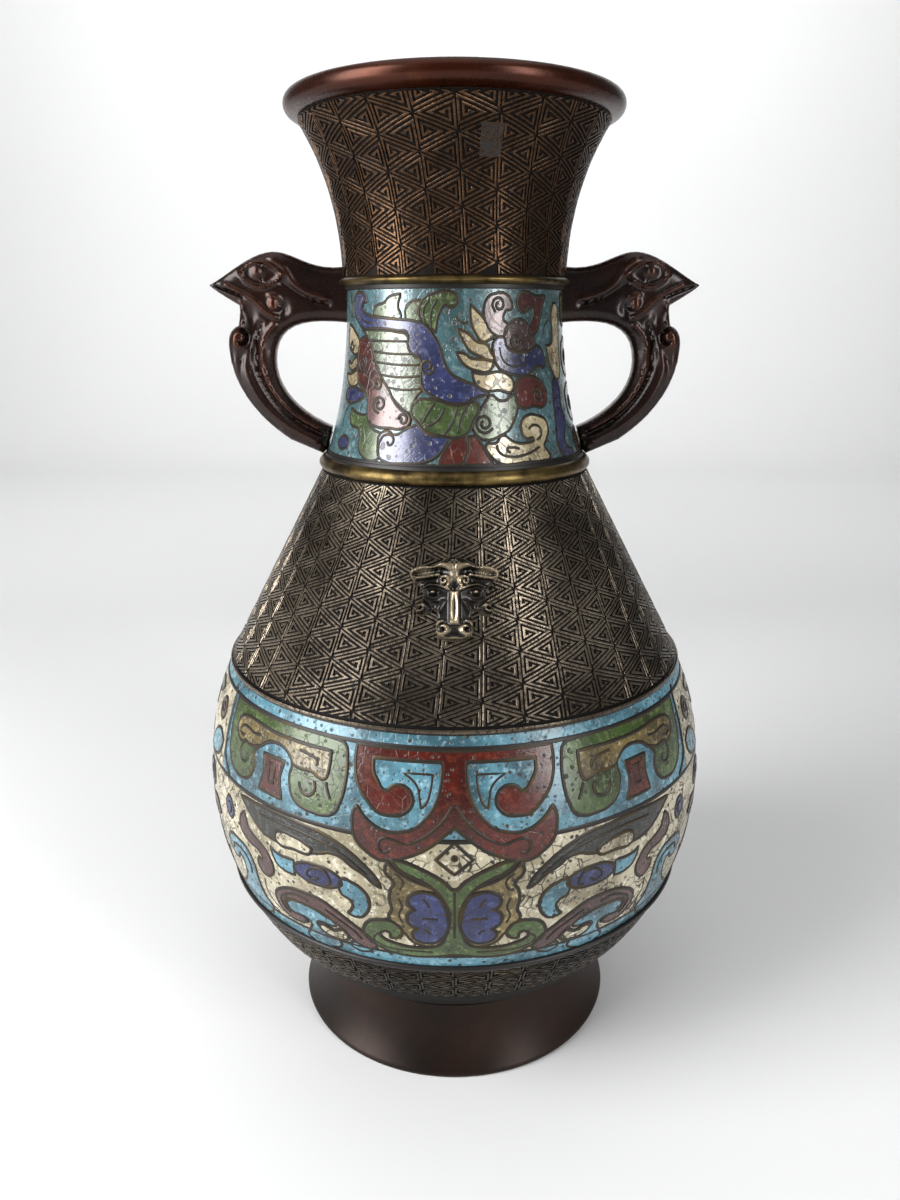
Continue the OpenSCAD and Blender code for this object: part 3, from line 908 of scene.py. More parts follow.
NECK_CELLS = [
    ("blue", 2, [
        [-32.5, 4.5], (-33.5, 3), (-36.5, 2), (-39.5, 2.5), (-40.5, 5), (-40, 8), (-37.5, 10.5),
        (-34.5, 12), (-30, 12), (-24, 12), (-19, 12.5), (-15.5, 13), (-15, 17), (-13.5, 19), (-11, 20),
        (-10.5, 24), (-10, 28), (-7.5, 30), (-4.5, 31.5), (-1, 32.5), (3, 32.5), (6, 31), [10.5, 30],
        (6, 27.5), (2, 26), (-1.5, 24), (-3.5, 20.5), (-5, 16.5), (-7, 13.5), (-9.5, 11), (-13, 10),
        (-19, 9.5), (-26, 9), (-31, 8.5), (-34, 7.5), (-35.5, 5.5)]),
    ("pale_green", 1, [
        [-35, 12.5], (-28, 12.5), (-19, 13), (-15.5, 14), (-15, 17), (-13, 19.5), (-11, 20.5),
        (-10.5, 24), (-10, 28.5), (-12, 31), (-13, 35), (-15, 35), (-17, 33.5), (-20, 31), (-22, 28.5),
        (-25, 25), (-27, 21.5), (-29, 18), (-31, 15)]),
    ("pale_green", 1, [
        [-29.5, 8.5], (-28, 6), (-24.5, 5), (-22.5, 3.5), [-18, 2.5], (-19, 6), (-18, 9), (-23, 9)]),
    ("pale_green", 1, [[-16, 9.5], (-16, 6.5), (-13.5, 4.5), [-10.5, 4.5], (-12, 7.5), (-11, 10)]),
    ("green", 1, [
        [-11, 10], (-11.5, 6.5), (-10, 4), (-6.5, 2.5), (-2.5, 2), (0.5, 3), (1, 4.5), (-0.5, 6),
        (-2, 6), (-3, 5.5), (-4.5, 7), (-5.5, 9.5), [-6, 13], (-8, 11.5)]),
    ("red", 2, [
        [-36.5, 15.5], (-33.5, 14.5), (-30.5, 15.5), (-29, 18.5), (-27, 22), (-24.5, 26), (-21.5, 29),
        (-19.5, 32), (-17, 34.5), (-13.5, 36.5), (-13.5, 38.5), (-16, 40), (-20, 40), (-24, 40),
        (-28, 38.5), (-29, 36), (-30.5, 30.5), (-33.5, 29), (-36, 26.5), (-37, 20)]),
    ("cream", 1, [
        [-46, 11], (-42.5, 12), (-39, 14), (-37, 15.5), (-37, 18), (-38.5, 19.5), (-42, 19),
        (-45, 17.5)]),
    ("cream", 1, [
        [-45.5, 21.5], (-42, 22.5), (-40, 21), (-38, 20.5), (-37.5, 22.5), (-39.5, 24), (-43, 24)]),
    ("cream", 1, [
        [-46, 25.5], (-42, 25.5), (-38.5, 24.5), [-36, 23.5], (-36, 27.5), (-38.5, 29), (-42.5, 28.5)]),
    ("blue", 1, [(-43, 30), (-34, 30), (-31.5, 31), (-33.5, 32.5), (-42, 33.5), (-44, 32)]),
    ("green", 1, [
        [-38, 35.5], (-35, 36.5), (-30.5, 37), (-28.5, 36.5), (-27.5, 39.5), (-25.5, 41), (-23, 42),
        (-22.5, 45), (-22, 48.5), (-24.5, 50), (-28, 49), (-30.5, 46.5), (-31, 43), (-32.5, 41),
        (-36, 40.5), (-38, 38)]),
    ("blue", 1, [
        (-43, 46), (-41.5, 44.5), (-39.5, 44), (-37.5, 44.5), (-36, 46), (-37.5, 47.5), (-39.5, 48),
        (-41.5, 47.5)]),
    ("blue", 2, [
        (-23, 45), (-23, 42.5), (-20.5, 41), (-18, 42), (-13, 39.5), (-10, 39), (-8, 41), (-5, 42),
        (-2, 42), (-3, 45), (-5.5, 48), (-9, 49.5), (-14, 50), (-19, 50), (-22, 48.5)]),
    ("green", 3, [
        (-13, 35), (-11.5, 32), (-8, 31.5), (-4.5, 32), (-1, 33), (3, 33), (6.5, 32.5), (7, 35),
        (5.5, 37.5), (4, 40.5), (1.5, 42), (-2, 42), (-5, 41.5), (-8.5, 40.5), (-10.5, 38.5)]),
    ("red", 1, [[-4.5, 50], (-2.5, 45.5), (1, 42), [3, 42], (3.5, 45.5), (2, 49.5), (-1, 50)]),
    ("red", 1, [[4, 42], (6, 42), (7.5, 44), (9, 47), [10.5, 50], (6, 50), (3, 49.5), (4, 45.5)]),
    ("cream", 1, [
        [5, 5.5], (7.5, 7.5), (9.5, 9.5), (11, 12), (12.5, 14), (11, 15), (9, 15.5), (7, 13.5),
        (5.5, 10.5)]),
    ("cream", 1, [
        [1, 12], (4.5, 13.5), (7, 15.5), (10.5, 16.5), (11.5, 18.5), (12.5, 20.5), (8.5, 19.5),
        (5, 18), (3, 15.5)]),
    ("cream", 1, [
        [0.5, 18.5], (3.5, 19), (5, 20), (9.5, 20.5), (12, 21), (11, 23.5), (7.5, 23.5), (3.5, 22)]),
    ("cream", 1, [
        [5.5, 24], (9, 24.5), (14.5, 24), (18, 25.5), (19, 27), (18, 29.5), (14, 29), (9.5, 29),
        (6.5, 27)]),
    ("blue", 2, [
        (12.5, 18.5), (12.5, 16), (14, 14.5), (16, 14.5), (17, 17), (19.5, 18.5), (24, 18.5), (27, 18),
        (29.5, 17), (32, 18.5), (33, 21), (32.5, 23), (30, 22.5), (27.5, 23.5), (24.5, 25), (20.5, 25),
        (16.5, 24), (14, 22.5)]),
    ("mauve", 1, [
        (9.5, 6.5), (11, 3.5), (13.5, 2.5), (16.5, 2.5), (18.5, 4), (19, 6.5), (17, 7), (16, 9.5),
        (17.5, 11), (16, 14), (13, 13.5), (10.5, 11)]),
    ("red", 1, [
        (21.5, 4.5), (22.5, 2.5), (25, 2), (29, 3), [34.5, 3], (33, 5.5), (31.5, 9.5), (30, 12.5),
        (27.5, 14), (25.5, 13), (27.5, 10), (28.5, 8), (28, 6), (26, 6.5), (24, 7.5), (22, 6.5)]),
    ("mauve", 1, [
        (16.5, 12.5), (18.5, 10.5), (22.5, 9.5), (25.5, 11), (27.5, 13.5), (28.5, 16), (28, 17.5),
        (24, 18), (20, 18), (17, 16.5)]),
    ("red", 2, [
        (25, 25.5), (28, 26), (31, 28), (32.5, 30.5), (32, 33), (29.5, 34.5), (26.5, 34), (20.5, 34),
        (19.5, 31), (19.5, 28.5), (21, 26)]),
    ("pale_green", 1, [
        (10, 31.5), (11, 30.5), (14, 32), (16, 32), (19, 30.5), (20, 32.5), (19.5, 35), (18, 38),
        (16, 40.5), (13, 42), (9.5, 43), (7, 42), (5.5, 40), (5.5, 37.5), (7, 35.5)]),
    ("cream", 1, [
        (9, 44.5), (12, 44), (14, 42), (17.5, 44), (22, 44.5), (24.5, 43.5), (21.5, 43), (20.5, 40.5),
        (21, 38), (24, 36.5), (27.5, 37), (30.5, 38.5), (31, 41), (29.5, 44), (28, 46), (29, 47.5),
        (29.5, 49.5), (27, 50), (20, 50), (13, 50), (10.5, 48)]),
    ("blue", 1, [
        (36.5, 31), (37.5, 27.5), (40, 27), (41.5, 29.5), (41, 35), (42.5, 38.5), (41, 42), (39, 45),
        (40, 47.5), (43, 49), (40, 50.5), (36.5, 49.5), (34.5, 46.5), (35.5, 41), (36, 36)]),
    ("cream", 1, [
        (38.5, 8), (40.5, 5), (43.5, 6), (44.5, 12), (44, 18), (43.5, 25), (41, 27), (38, 25),
        (36, 22), [34.5, 17], (38, 16.5), (39, 14)]),
    ("green", 1, [
        [47.5, 2.5], (52, 2), (57, 2), [59, 3], (57, 8), (52.5, 11.5), (48.5, 10), (47, 6)]),
    ("red", 1, [
        (47.5, 18), (50, 15.5), (54, 15), (57.5, 17), (58, 22), (55, 26), (50.5, 26), (47.5, 23)]),
    ("blue", 1, [[47, 31], (51, 29), (57, 29.5), (58.5, 34), (56.5, 39), (51, 40), (47.5, 36.5)]),
    ("mauve", 1, [(48, 44), (52, 42.5), (57, 44), (58, 48), (55, 50.5), (49.5, 50.5), (47, 47.5)]),
]

NECK_LINES = [
    ([(-32.5, 15.5), (-25, 15.5), (-15, 15.5)], False, 2, 0.7),
    ([(-28.5, 18.5), (-21, 19), (-13.5, 19)], False, 2, 0.7),
    ([(-27, 21.5), (-19, 22), (-11, 22)], False, 2, 0.7),
    ([(-25, 25), (-18, 25.5), (-10.5, 25)], False, 2, 0.7),
    ([(-22, 28.5), (-16, 29), (-10, 28.5)], False, 2, 0.7),
    ([(-9.5, 11), (-10, 7), (-8, 4)], False, 2, 0.7),
    ([(-7.5, 12), (-7.5, 7.5), (-5.5, 4)], False, 2, 0.7),
    ([(-22.5, 48), (-22.5, 44), (-20.5, 42), (-18, 43), (-19, 45), (-20, 44)], False, 3, 0.8),
    ([(-6, 32.5), (-8, 35.5), (-9.5, 38.5)], False, 4, 0.7),
    ([(-3, 34), (-5, 37.5), (-8, 39)], False, 4, 0.7),
    ([(1, 33.5), (-0.5, 38), (-3, 41.5)], False, 4, 0.7),
    ([(4, 33), (2, 36.5), (1, 41)], False, 4, 0.7),
    ([(23, 40.5), (25, 39.5), (27.5, 40.5), (27.5, 42.5), (25.5, 44)], False, 2, 0.8),
    ([(12, 44.5), (12.5, 46.5), (15, 48), (22, 47.5), (26, 46)], False, 2, 0.8),
    ([(-37, 33.5), (-40.5, 35), (-43, 38.5), (-42, 42)], False, 0, 0.8),
    ([(0.5, 8.5), (2.5, 10.5), (4.5, 10)], False, 0, 0.8),
    ([(33, 14), (34.5, 11), (37, 9.5)], False, 0, 0.8),
    ([(44, 41), (46.5, 44), (45, 47.5)], False, 0, 0.8),
    ([(16, 47), (15, 46), (17, 45.5), (19, 46)], False, 2, 0.8),
    ([(-28, 44), (-27, 46.5), (-25, 47)], False, 0, 0.8),
    ([(14.5, 17), (15.5, 20.5), (19, 22.5), (24, 22)], False, 2, 0.8),
    ([(-37.5, 5), (-37, 8), (-34, 10), (-29, 10.5)], False, 2, 0.8),
]


# ---- pieces: foot and bowl -----------------------------------------------------------------------

FRET_DEPTH = 0.45
BOWL_RUN = BELLY.run_at(top_mm("lower_bowl"))
REGISTER_RUN = BELLY.run_at(top_mm("belly_enamel_lower"))


def foot_piece():
    """The flared foot: a turned skirt with a soft bright edge at the floor."""
    outer = FOOT.outline(0, FOOT.length, 0, 22)
    hem = [(FOOT_REACH, 1.2), (FOOT_REACH - 0.25, 0.45), (FOOT_REACH - 0.9, 0.0),
           (FOOT_REACH - 3.4, 0.0)]
    inner = [(FOOT_REACH - 4.1, 0.6), (49.0, 8.0), (45.3, 14.0), (43.5, 19.6)]
    top = [(46.5, 19.6), (46.5, FOOT_TOP[1])]
    return dress(turned("foot", outer + hem + inner + top), "foot_bronze", "foot_ring")


def bowl_piece():
    """The bowl under the belly: the wall behind its key-fret, which steps in a little at the foot."""
    h1 = BELLY.length
    outer = BELLY.outline(BOWL_RUN, h1 - 1.4, -FRET_DEPTH, 30)
    neck = [BELLY.point(h1 - 0.7, -1.2), BELLY.point(h1, -0.6)]
    inner = BELLY.outline(h1, BOWL_RUN, -WALL_T, 16)
    return dress(mark(turned("bowl", outer + neck + inner), -0.27), "bowl_bronze", "lower_bowl")


def bead_piece(name, wall, h, width, proud, node, finish):
    """A rounded bead on a wall, sunk a little into it."""
    outline = []
    for k in range(9):
        angle = math.pi * k / 8
        outline.append(wall.point(h - width / 2 * math.cos(angle), proud * math.sin(angle)))
    outline += [wall.point(h + width / 2, -0.5), wall.point(h - width / 2, -0.5)]
    return dress(turned(name, outline), finish, node)


foot_piece()
bowl_piece()
bead_piece("bowl_bead", BELLY, BOWL_RUN, 2.0, 0.75, "lower_bead", "cell_bronze")
bowl_fret = fret("bowl_fret", BELLY, BOWL_RUN + 0.9, BOWL_RUN + 19, columns=46, row=6.9,
                 start=BOWL_RUN + 1.2, lean=0.0, pitch=1.25, turns=6, height=0.4, width=0.6)
dress(bowl_fret, "bowl_bronze")


# ---- pieces: belly enamel ------------------------------------------------------------------------

PANEL = BELLY.round / 4
PANEL_HALF = 42.5
BACK = BELLY.round / 2
STRIP_RUN = 71.2


def belly_pattern():
    """The cells and lines of the front, the side panels and the back."""
    cells, lines = with_copies(HALF_CELLS, HALF_LINES, flip_x)
    cells = [("red", 1, both_halves(RED_CAP))] + cells + [("green", 2, both_halves(LEAF))]
    lines += [([[0, 31], [5.2, 36.1], [0, 40.6], [-5.2, 36.1]], True, 2, 1.0),
              ([(-0.6, 35.6), (0, 35.0), (0.6, 35.6), (0, 36.2)], True, 2, 0.9),
              ([(0, 46), (0, 54), (0, 63)], False, 2, 1.0)]
    side_cells, side_lines = with_copies(SIDE_CELLS, SIDE_LINES, lambda points: flip_x(points, PANEL))
    side_lines += [curl(133.5, 15, 2.4, 3, 90, 1.5), curl(133.5, 42.5, 1.8, 3, 90, 1.2),
                   curl(129.5, 63, 2.4, 3, 0), curl(137.5, 63, 2.4, 3, 180, way=-1)]
    cells += side_cells + MIDDLE_CELLS
    return with_copies(cells, lines + side_lines, lambda points: shifted(points, BACK))


cells, lines = belly_pattern()
belly_ground = sleeve("belly_turquoise", BELLY, 1.2, REGISTER_RUN + 0.4, GROUND, GLASS)
dress(belly_ground, "turquoise_enamel", "belly_enamel_upper")
belly_white = sleeve("belly_white", BELLY, REGISTER_RUN + 0.4, BOWL_RUN - 0.6, GROUND, GLASS, rows=40)
dress(belly_white, "white_enamel", "belly_enamel_lower")
enamel_cells("belly", BELLY, cells)
cell_walls("belly_cell_walls", BELLY, cells, lines, 1.4)
for k, x in enumerate((PANEL, PANEL + BACK)):
    panel = sleeve(f"panel_white_{k + 1}", BELLY, 5.4, REGISTER_RUN + 0.6, GROUND + 0.06, 0.2,
                   x0=x - PANEL_HALF, x1=x + PANEL_HALF, columns=40, rows=12)
    dress(panel, "white_enamel")


def ring_line(name, wall, h, width, crest):
    """A line of bronze left standing right round a band, level with the cell walls."""
    half = width / 2
    corners = [(-half, -0.8), (-half, crest - 0.1), (0.2 - half, crest),
               (half - 0.2, crest), (half, crest - 0.1), (half, -0.8)]
    outline = [wall.point(h + along, proud) for along, proud in corners]
    return turned(name, outline)


RING = GROUND + LAYER + CREST
dress(ring_line("belly_top_line", BELLY, 1.0, 0.9, RING), "cell_bronze")
dress(ring_line("belly_strip_line", BELLY, 4.9, 1.2, RING), "cell_bronze")
register = ring_line("belly_register", BELLY, REGISTER_RUN + 0.3, 1.5, GROUND + 0.08)
dress(register, "cell_bronze", "register_line")
dress(ring_line("belly_foot_line", BELLY, STRIP_RUN, 1.0, RING), "cell_bronze")
strip = sleeve("belly_foot_strip", BELLY, STRIP_RUN, BOWL_RUN - 0.4, GROUND + 0.05, 0.2, rows=3)
dress(strip, "turquoise_enamel")


# ---- pieces: shoulder ----------------------------------------------------------------------------

def shell_piece(name, wall, outer_steps, inner_steps, finish, node):
    """The wall behind a key-fret, as deep as the fret's grooves."""
    outer = wall.outline(0, wall.length, -FRET_DEPTH, outer_steps)
    inner = wall.outline(wall.length, 0, -WALL_T, inner_steps)
    return dress(mark(turned(name, outer + inner), -FRET_DEPTH), finish, node)


shell_piece("shoulder_wall", SHOULDER, 24, 12, "fret_bronze", "shoulder")
shoulder_fret = fret("shoulder_fret", SHOULDER, 0.7, SHOULDER.length - 1.0, columns=38, row=9.0,
                     start=-1.2, lean=0.058, pitch=1.15, turns=8, height=FRET_DEPTH, width=0.66)
dress(shoulder_fret, "fret_bronze")
bead_piece("edge_bead", BELLY, 0.0, 2.2, 0.55, "shoulder_bead", "fret_bronze")


# ---- pieces: neck --------------------------------------------------------------------------------

def collar_piece(name, z0, r0, z1, r1, node):
    """A brass collar: a round moulding between two bands."""
    outline = []
    for k in range(13):
        t = k / 12
        outline.append((r0 + (r1 - r0) * t + 1.55 * math.sin(math.pi * t) ** 0.7, z0 + (z1 - z0) * t))
    outline += [(r1 - WALL_T, z1), (r0 - WALL_T, z0)]
    return dress(turned(name, outline), "worn_brass", node)


collar_piece("lower_collar", SHOULDER_TOP[1], SHOULDER_TOP[0], NECK_FOOT, 42.0, "lower_neck_collar")
collar_piece("upper_collar", NECK_TOP, WAIST_R, FLARE_FOOT, WAIST_R + 0.6, "upper_neck_collar")
neck_ground = sleeve("neck_turquoise", NECK, 0.2, NECK.length - 0.2, GROUND, GLASS, rows=30)
dress(neck_ground, "neck_turquoise_enamel", "neck_enamel")
NECK_CURLS = [curl(*numbers) for numbers in (
    (-8.5, 22.3, 2.5, 3, 0, 1.3), (-33.5, 22, 2.8, 3, 40, 1.5), (-25.8, 28, 1.9, 3, 200, 1.2),
    (-24.3, 33.5, 2.6, 3, 90, 1.5), (-15.5, 37.5, 1.8, 3, 180, 1.2), (-42.2, 17, 1.8, 2, 0, 1.1),
    (14.5, 5.5, 2.4, 2, 120, 1.4), (20.5, 15.3, 2.3, 3, 0, 1.2), (28, 31, 2.4, 3, 200, 1.4),
    (8.8, 38.3, 2.9, 2, 30, 1.6), (52.5, 20.5, 2.6, 2, 90, 1.4), (52.5, 34.5, 2.8, 2, 0, 1.5),
    (52, 47, 2.2, 2, 180, 1.4),
)]
neck_cells, neck_lines = with_copies(NECK_CELLS, NECK_LINES + NECK_CURLS,
                                     lambda points: shifted(points, NECK.round / 2))
enamel_cells("neck", NECK, neck_cells, 3.0, "neck_")
cell_walls("neck_cell_walls", NECK, neck_cells, neck_lines, 1.05, 3.0)
dress(ring_line("neck_top_line", NECK, 0.8, 0.9, RING), "cell_bronze")
dress(ring_line("neck_foot_line", NECK, NECK.length - 1.6, 1.0, RING), "cell_bronze")


# ---- pieces: trumpet mouth -----------------------------------------------------------------------

def lip_piece():
    """The rolled lip, thick and round, with a step under it."""
    middle, section = LIP_REACH - 3.0, 3.0
    outline = []
    for k in range(20):
        angle = math.radians(-62 + 304 * k / 19)
        outline.append((middle + section * math.cos(angle),
                        LIP_TOP - section + section * math.sin(angle)))
    outline += [(MOUTH_R - WALL_T, FLARE_TOP), (MOUTH_R - 0.2, FLARE_TOP)]
    return dress(turned("lip", outline), "lip_bronze", "mouth_rim")


shell_piece("flare_wall", FLARE, 30, 20, "flare_bronze", "neck_flare")
lip_piece()
flare_fret = fret("flare_fret", FLARE, 0.7, FLARE.length - 0.3, columns=24, row=9.3,
                  start=-8.0, lean=-0.084, pitch=1.15, turns=8, height=FRET_DEPTH, width=0.62)
dress(flare_fret, "flare_bronze")
patch = sleeve("patch", FLARE, 8.2, 16.6, -0.04, 0.6, x0=6.6, x1=12.4, columns=12, rows=16)
dress(patch, "patch_bronze", "repair_patch")


# ---- pieces: handles and masks -------------------------------------------------------------------

HANDLE_HALF = 5.5
SEAT_R = 32.6
HANDLE_END = (30, 241.2)
HANDLE_CHAIN = [
    [(30, 258.6), (44, 255), (49, 262.5), (56, 262.2)],
    [(56, 262.2), (63, 261.9), (70, 255.5), (76.3, 252.4)],
    [(76.3, 252.4), (75.5, 251.2), (67.2, 246.4)],
    [(67.2, 246.4), (67, 243.5), (67.9, 240.3)],
    [(67.9, 240.3), (71.6, 239), (71.3, 233.5)],
    [(71.3, 233.5), (70.9, 219), (60, 209.5), (53.3, 204.9)],
    [(53.3, 204.9), (42.9, 200.4)],
    [(42.9, 200.4), (41.2, 202)],
    [(41.2, 202), (39.6, 208.9)],
    [(39.6, 208.9), (50.5, 213.5), (57.2, 221), (56.9, 229.7)],
    [(56.9, 229.7), (56.5, 240.5), (48.5, 242.8), (33, 241.2)],
    [(33, 241.2), HANDLE_END],
]


def distance(x, z, line):
    """Distance of every point from a line of points."""
    best = np.full(len(x), 1e9)
    for p, q in zip(line[:-1], line[1:]):
        run = q - p
        t = np.clip(((x - p[0]) * run[0] + (z - p[1]) * run[1]) / max(run @ run, 1e-9), 0, 1)
        best = np.minimum(best, np.hypot(x - p[0] - t * run[0], z - p[1] - t * run[1]))
    return best


def ridge(x, z, points, width, height):
    """A soft ridge, or a groove where height is negative, along a smooth line."""
    line = np.array(smooth_line(points))
    return height * np.exp(-(distance(x, z, line) / width) ** 2)


def smooth_line(points):
    """Points along a smooth line through a few given ones, eight for each stretch."""
    p = [np.array(q, float) for q in points]
    p = [2 * p[0] - p[1]] + p + [2 * p[-1] - p[-2]]
    line = []
    for a, b, c, d in zip(p, p[1:], p[2:], p[3:]):
        for t in np.arange(8) / 8:
            line.append(0.5 * (2 * b + (c - a) * t + (2 * a - 5 * b + 4 * c - d) * t * t
                               + (3 * b - a - 3 * c + d) * t ** 3))
    line.append(p[-2])
    return line


def slab(name, line, size):
    """A filled outline, cut in small squares and drawn out into a slab 2 thick, closed all round."""
    piece = drawn(name, [([list(q) for q in line * (1, -1)], True)], -1.0, fine=2)
    edit(piece, lambda: cut_squares(size))
    edit(piece, merge(0.02))
    edit(piece, lambda: bpy.ops.mesh.extrude_region_move(TRANSFORM_OT_translate={"value": (0, 0, 2)}))
    edit(piece, face_out)
    return piece


def bump(a, v, at_a, at_v, wide, tall, height):
    """A soft round rise, or a hollow where height is negative."""
    return height * np.exp(-((a - at_a) / wide) ** 2 - ((v - at_v) / tall) ** 2)


def wound(a, v, at_a, at_v, radius, start, turns, way, width, height):
    """A ridge that winds into a spiral."""
    line = np.array(spiral(at_a, at_v, radius, start, turns, way, round(turns * 14), 0.15))
    return height * np.exp(-(distance(a, v, line) / width) ** 2)


def handle_relief(x, z):
    """How far the bird's carving stands over the plain handle: eye, brow, cheek, beak, lug, flutes."""
    h = bump(x, z, 59.0, 255.4, 4.4, 2.6, -0.7)
    h += bump(x, z, 60.3, 256.0, 1.9, 1.9, 1.6)
    h += ridge(x, z, [(59.4, 258.4), (59.2, 256), (59.5, 253.6)], 0.3, -0.8)
    h += ridge(x, z, [(52.7, 255.3), (56, 252.9), (60.1, 251.7), (64.1, 253.6), (65.8, 255.9)],
               0.55, 1.1)
    h += ridge(x, z, [(53.2, 255.6), (55.6, 257.8), (59.2, 259.2), (63, 258.6), (65.6, 256.2)], 0.5, 1.0)
    h += ridge(x, z, [(39.8, 248.4), (45.9, 250.4), (49.6, 253.2), (52.2, 257.2), (56, 260)], 0.8, 0.8)
    h += ridge(x, z, [(39, 246.6), (45.6, 248.4), (50.6, 251.2), (53.6, 253.2)], 0.7, -0.9)
    h += bump(x, z, 53.2, 245.4, 1.7, 2.3, -1.3) + bump(x, z, 56.0, 247.0, 1.3, 1.7, 1.5)
    h += wound(x, z, 55.6, 246.6, 3.3, 60, 0.75, 1, 0.6, 0.8)
    h += ridge(x, z, [(55.6, 242.9), (58.8, 245), (61.8, 247.9), (66, 250.2), (71, 252.6)], 0.75, 1.0)
    h += ridge(x, z, [(65.2, 248.9), (68.5, 250.1), (72.5, 251.4), (76, 252.3)], 0.45, -1.1)
    h += bump(x, z, 63.4, 241.8, 2.0, 4.2, -1.2)
    h += ridge(x, z, [(66.6, 247), (65.9, 243.5), (66.6, 240)], 0.6, 0.7)
    h += bump(x, z, 67.6, 236.4, 2.2, 2.8, 1.8)
    h += wound(x, z, 67.2, 236.0, 3.3, 100, 0.6, 1, 0.45, -1.7)
    h += wound(x, z, 66.8, 235.6, 1.7, 30, 0.8, 1, 0.4, -0.6)
    h += ridge(x, z, [(56.2, 240.6), (59.4, 236.6), (60.2, 230.5), (58.6, 222.5), (52.6, 214.5),
                      (43.5, 208.9)], 0.8, 0.9)
    h += ridge(x, z, [(60.6, 241), (62.4, 234.5), (62, 226), (57.2, 217), (50, 210.4), (42.5, 206.4)],
               0.75, -1.2)
    h += ridge(x, z, [(64.4, 233), (65.4, 226.5), (61.6, 217.5), (54.5, 210.4), (44.5, 204.6)], 0.8, 0.6)
    h += ridge(x, z, [(67, 231.5), (67.6, 225), (63.8, 216), (56.5, 209)], 0.6, -0.6)
    return h


def handle_piece(name, node):
    """A bird-head handle: an outline swelled from its edge inwards, with carving on both faces."""
    line = np.vstack([bezier(controls, np.arange(10) / 10) for controls in HANDLE_CHAIN])
    piece = slab(name, line, 0.7)
    x, z, side = coordinates(piece).T
    side = np.sign(side - side.mean())
    depth = distance(x, z, np.vstack([line, HANDLE_END]))
    rim = 1 - np.clip(depth / 3.6, 0, 1)
    inner = np.clip(depth / 1.2, 0, 1)
    head = np.clip((z - 240) / 10, 0, 1) * np.clip((x - 62) / 14, 0, 1)
    half = (1.7 + 2.7 * np.sqrt(1 - rim ** 2)) * (1 - 0.45 * head)
    relief = handle_relief(x, z)
    half = np.minimum(half + relief * inner, HANDLE_HALF - 0.02)
    remember(piece, np.stack([x, z, np.clip(0.3 + 0.4 * relief + 0.35 * (1 - inner), 0, 1)], axis=1))
    seated = np.maximum(x, np.sqrt(SEAT_R ** 2 - half ** 2))
    set_coordinates(piece, np.stack([seated, -side * half, z], axis=1) * MM)
    edit(piece, face_out)
    return dress(smooth(piece, 60), "handle_bronze", node)


right_handle = handle_piece("bird_handle_right", "handle_right")
left_handle = turned_round(right_handle, "bird_handle_left")
dress(left_handle, "handle_bronze", "handle_left")


MASK_HALF = [
    [0, 12], (3, 11.2), (6, 9), (12.4, 8.3), (13.4, 5.8), (11, 3.6), (9.6, 2), (9.2, -0.5), (10.9, -3.2),
    (10.2, -5.2), (7, -4.6), (5.6, -3.6), (5, -8), (4.7, -10.2), (3, -12), [0, -12.4],
]
MASK_MIDDLE = SHOULDER.run_at(167.9)
MASK_TOP = 3.9


def mask_relief(u, v):
    """The ox's face: crown, swept horns, curled brows, small eyes, long nose and round nostrils."""
    a = np.abs(u)
    h = 1.1 + bump(a, v, 0, -3, 3.6, 9, 0.8)
    bridge = np.clip((2.0 - v) / 0.8, 0, 1) * np.clip((v + 8) / 0.8, 0, 1)
    h += 1.3 * np.clip((1.45 - a) / 0.4, 0, 1) * bridge
    h -= bump(a, v, 0, -3, 0.35, 4.2, 0.9)
    h += bump(a, v, 0, -9.6, 4.2, 2.4, 0.8)
    h += wound(a, v, 3.1, -9.0, 2.2, 90, 1.3, -1, 0.55, 1.3) + bump(a, v, 3.2, -9.0, 0.5, 0.5, -1.2)
    h += ridge(a, v, [(0, -11.6), (2.4, -11.6), (4.6, -10.2)], 0.5, 0.9)
    h += bump(a, v, 0, 6.2, 2.3, 2.6, 1.5)
    h += wound(a, v, 3.1, 4.5, 1.7, 230, 1.2, -1, 0.5, 1.5)
    h += ridge(a, v, [(1.6, 2.1), (4.4, 3.1), (7.0, 3.4), (9.0, 2.4)], 0.5, 1.3)
    h += bump(a, v, 5.2, -0.6, 3.2, 1.2, -0.8)
    h += bump(a, v, 6.1, 1.2, 1.0, 0.7, 1.9)
    h += ridge(a, v, [(3.2, -1.2), (4.7, -4.2), (5.0, -7.4)], 0.7, 0.8)
    h += ridge(a, v, [(0.8, 8.2), (4, 9.0), (7.5, 8.5), (10.5, 7.8), (13, 6.4), (12.4, 4.8)], 0.8, 2.3)
    h += ridge(a, v, [(4.6, 6.2), (7.4, 5.7), (10, 5.2), (12.2, 4.9)], 0.6, 1.9)
    for k in range(6):
        h -= ridge(a, v, [(5.0 + 1.35 * k, 8.4 - 0.15 * k), (5.8 + 1.2 * k, 5.6)], 0.3, 0.4)
    h += bump(a, v, 0, 9.8, 2.6, 1.6, 1.2) * (1 + 0.45 * np.sin(3.1 * a) * np.sin(3.7 * v))
    h += wound(a, v, 9.4, -3.0, 1.8, 70, 1.2, -1, 0.5, 1.6)
    h += ridge(a, v, [(8.6, 1.4), (9.2, -0.6), (8.0, -2.4), (6.2, -4.0)], 0.45, 1.1)
    return h


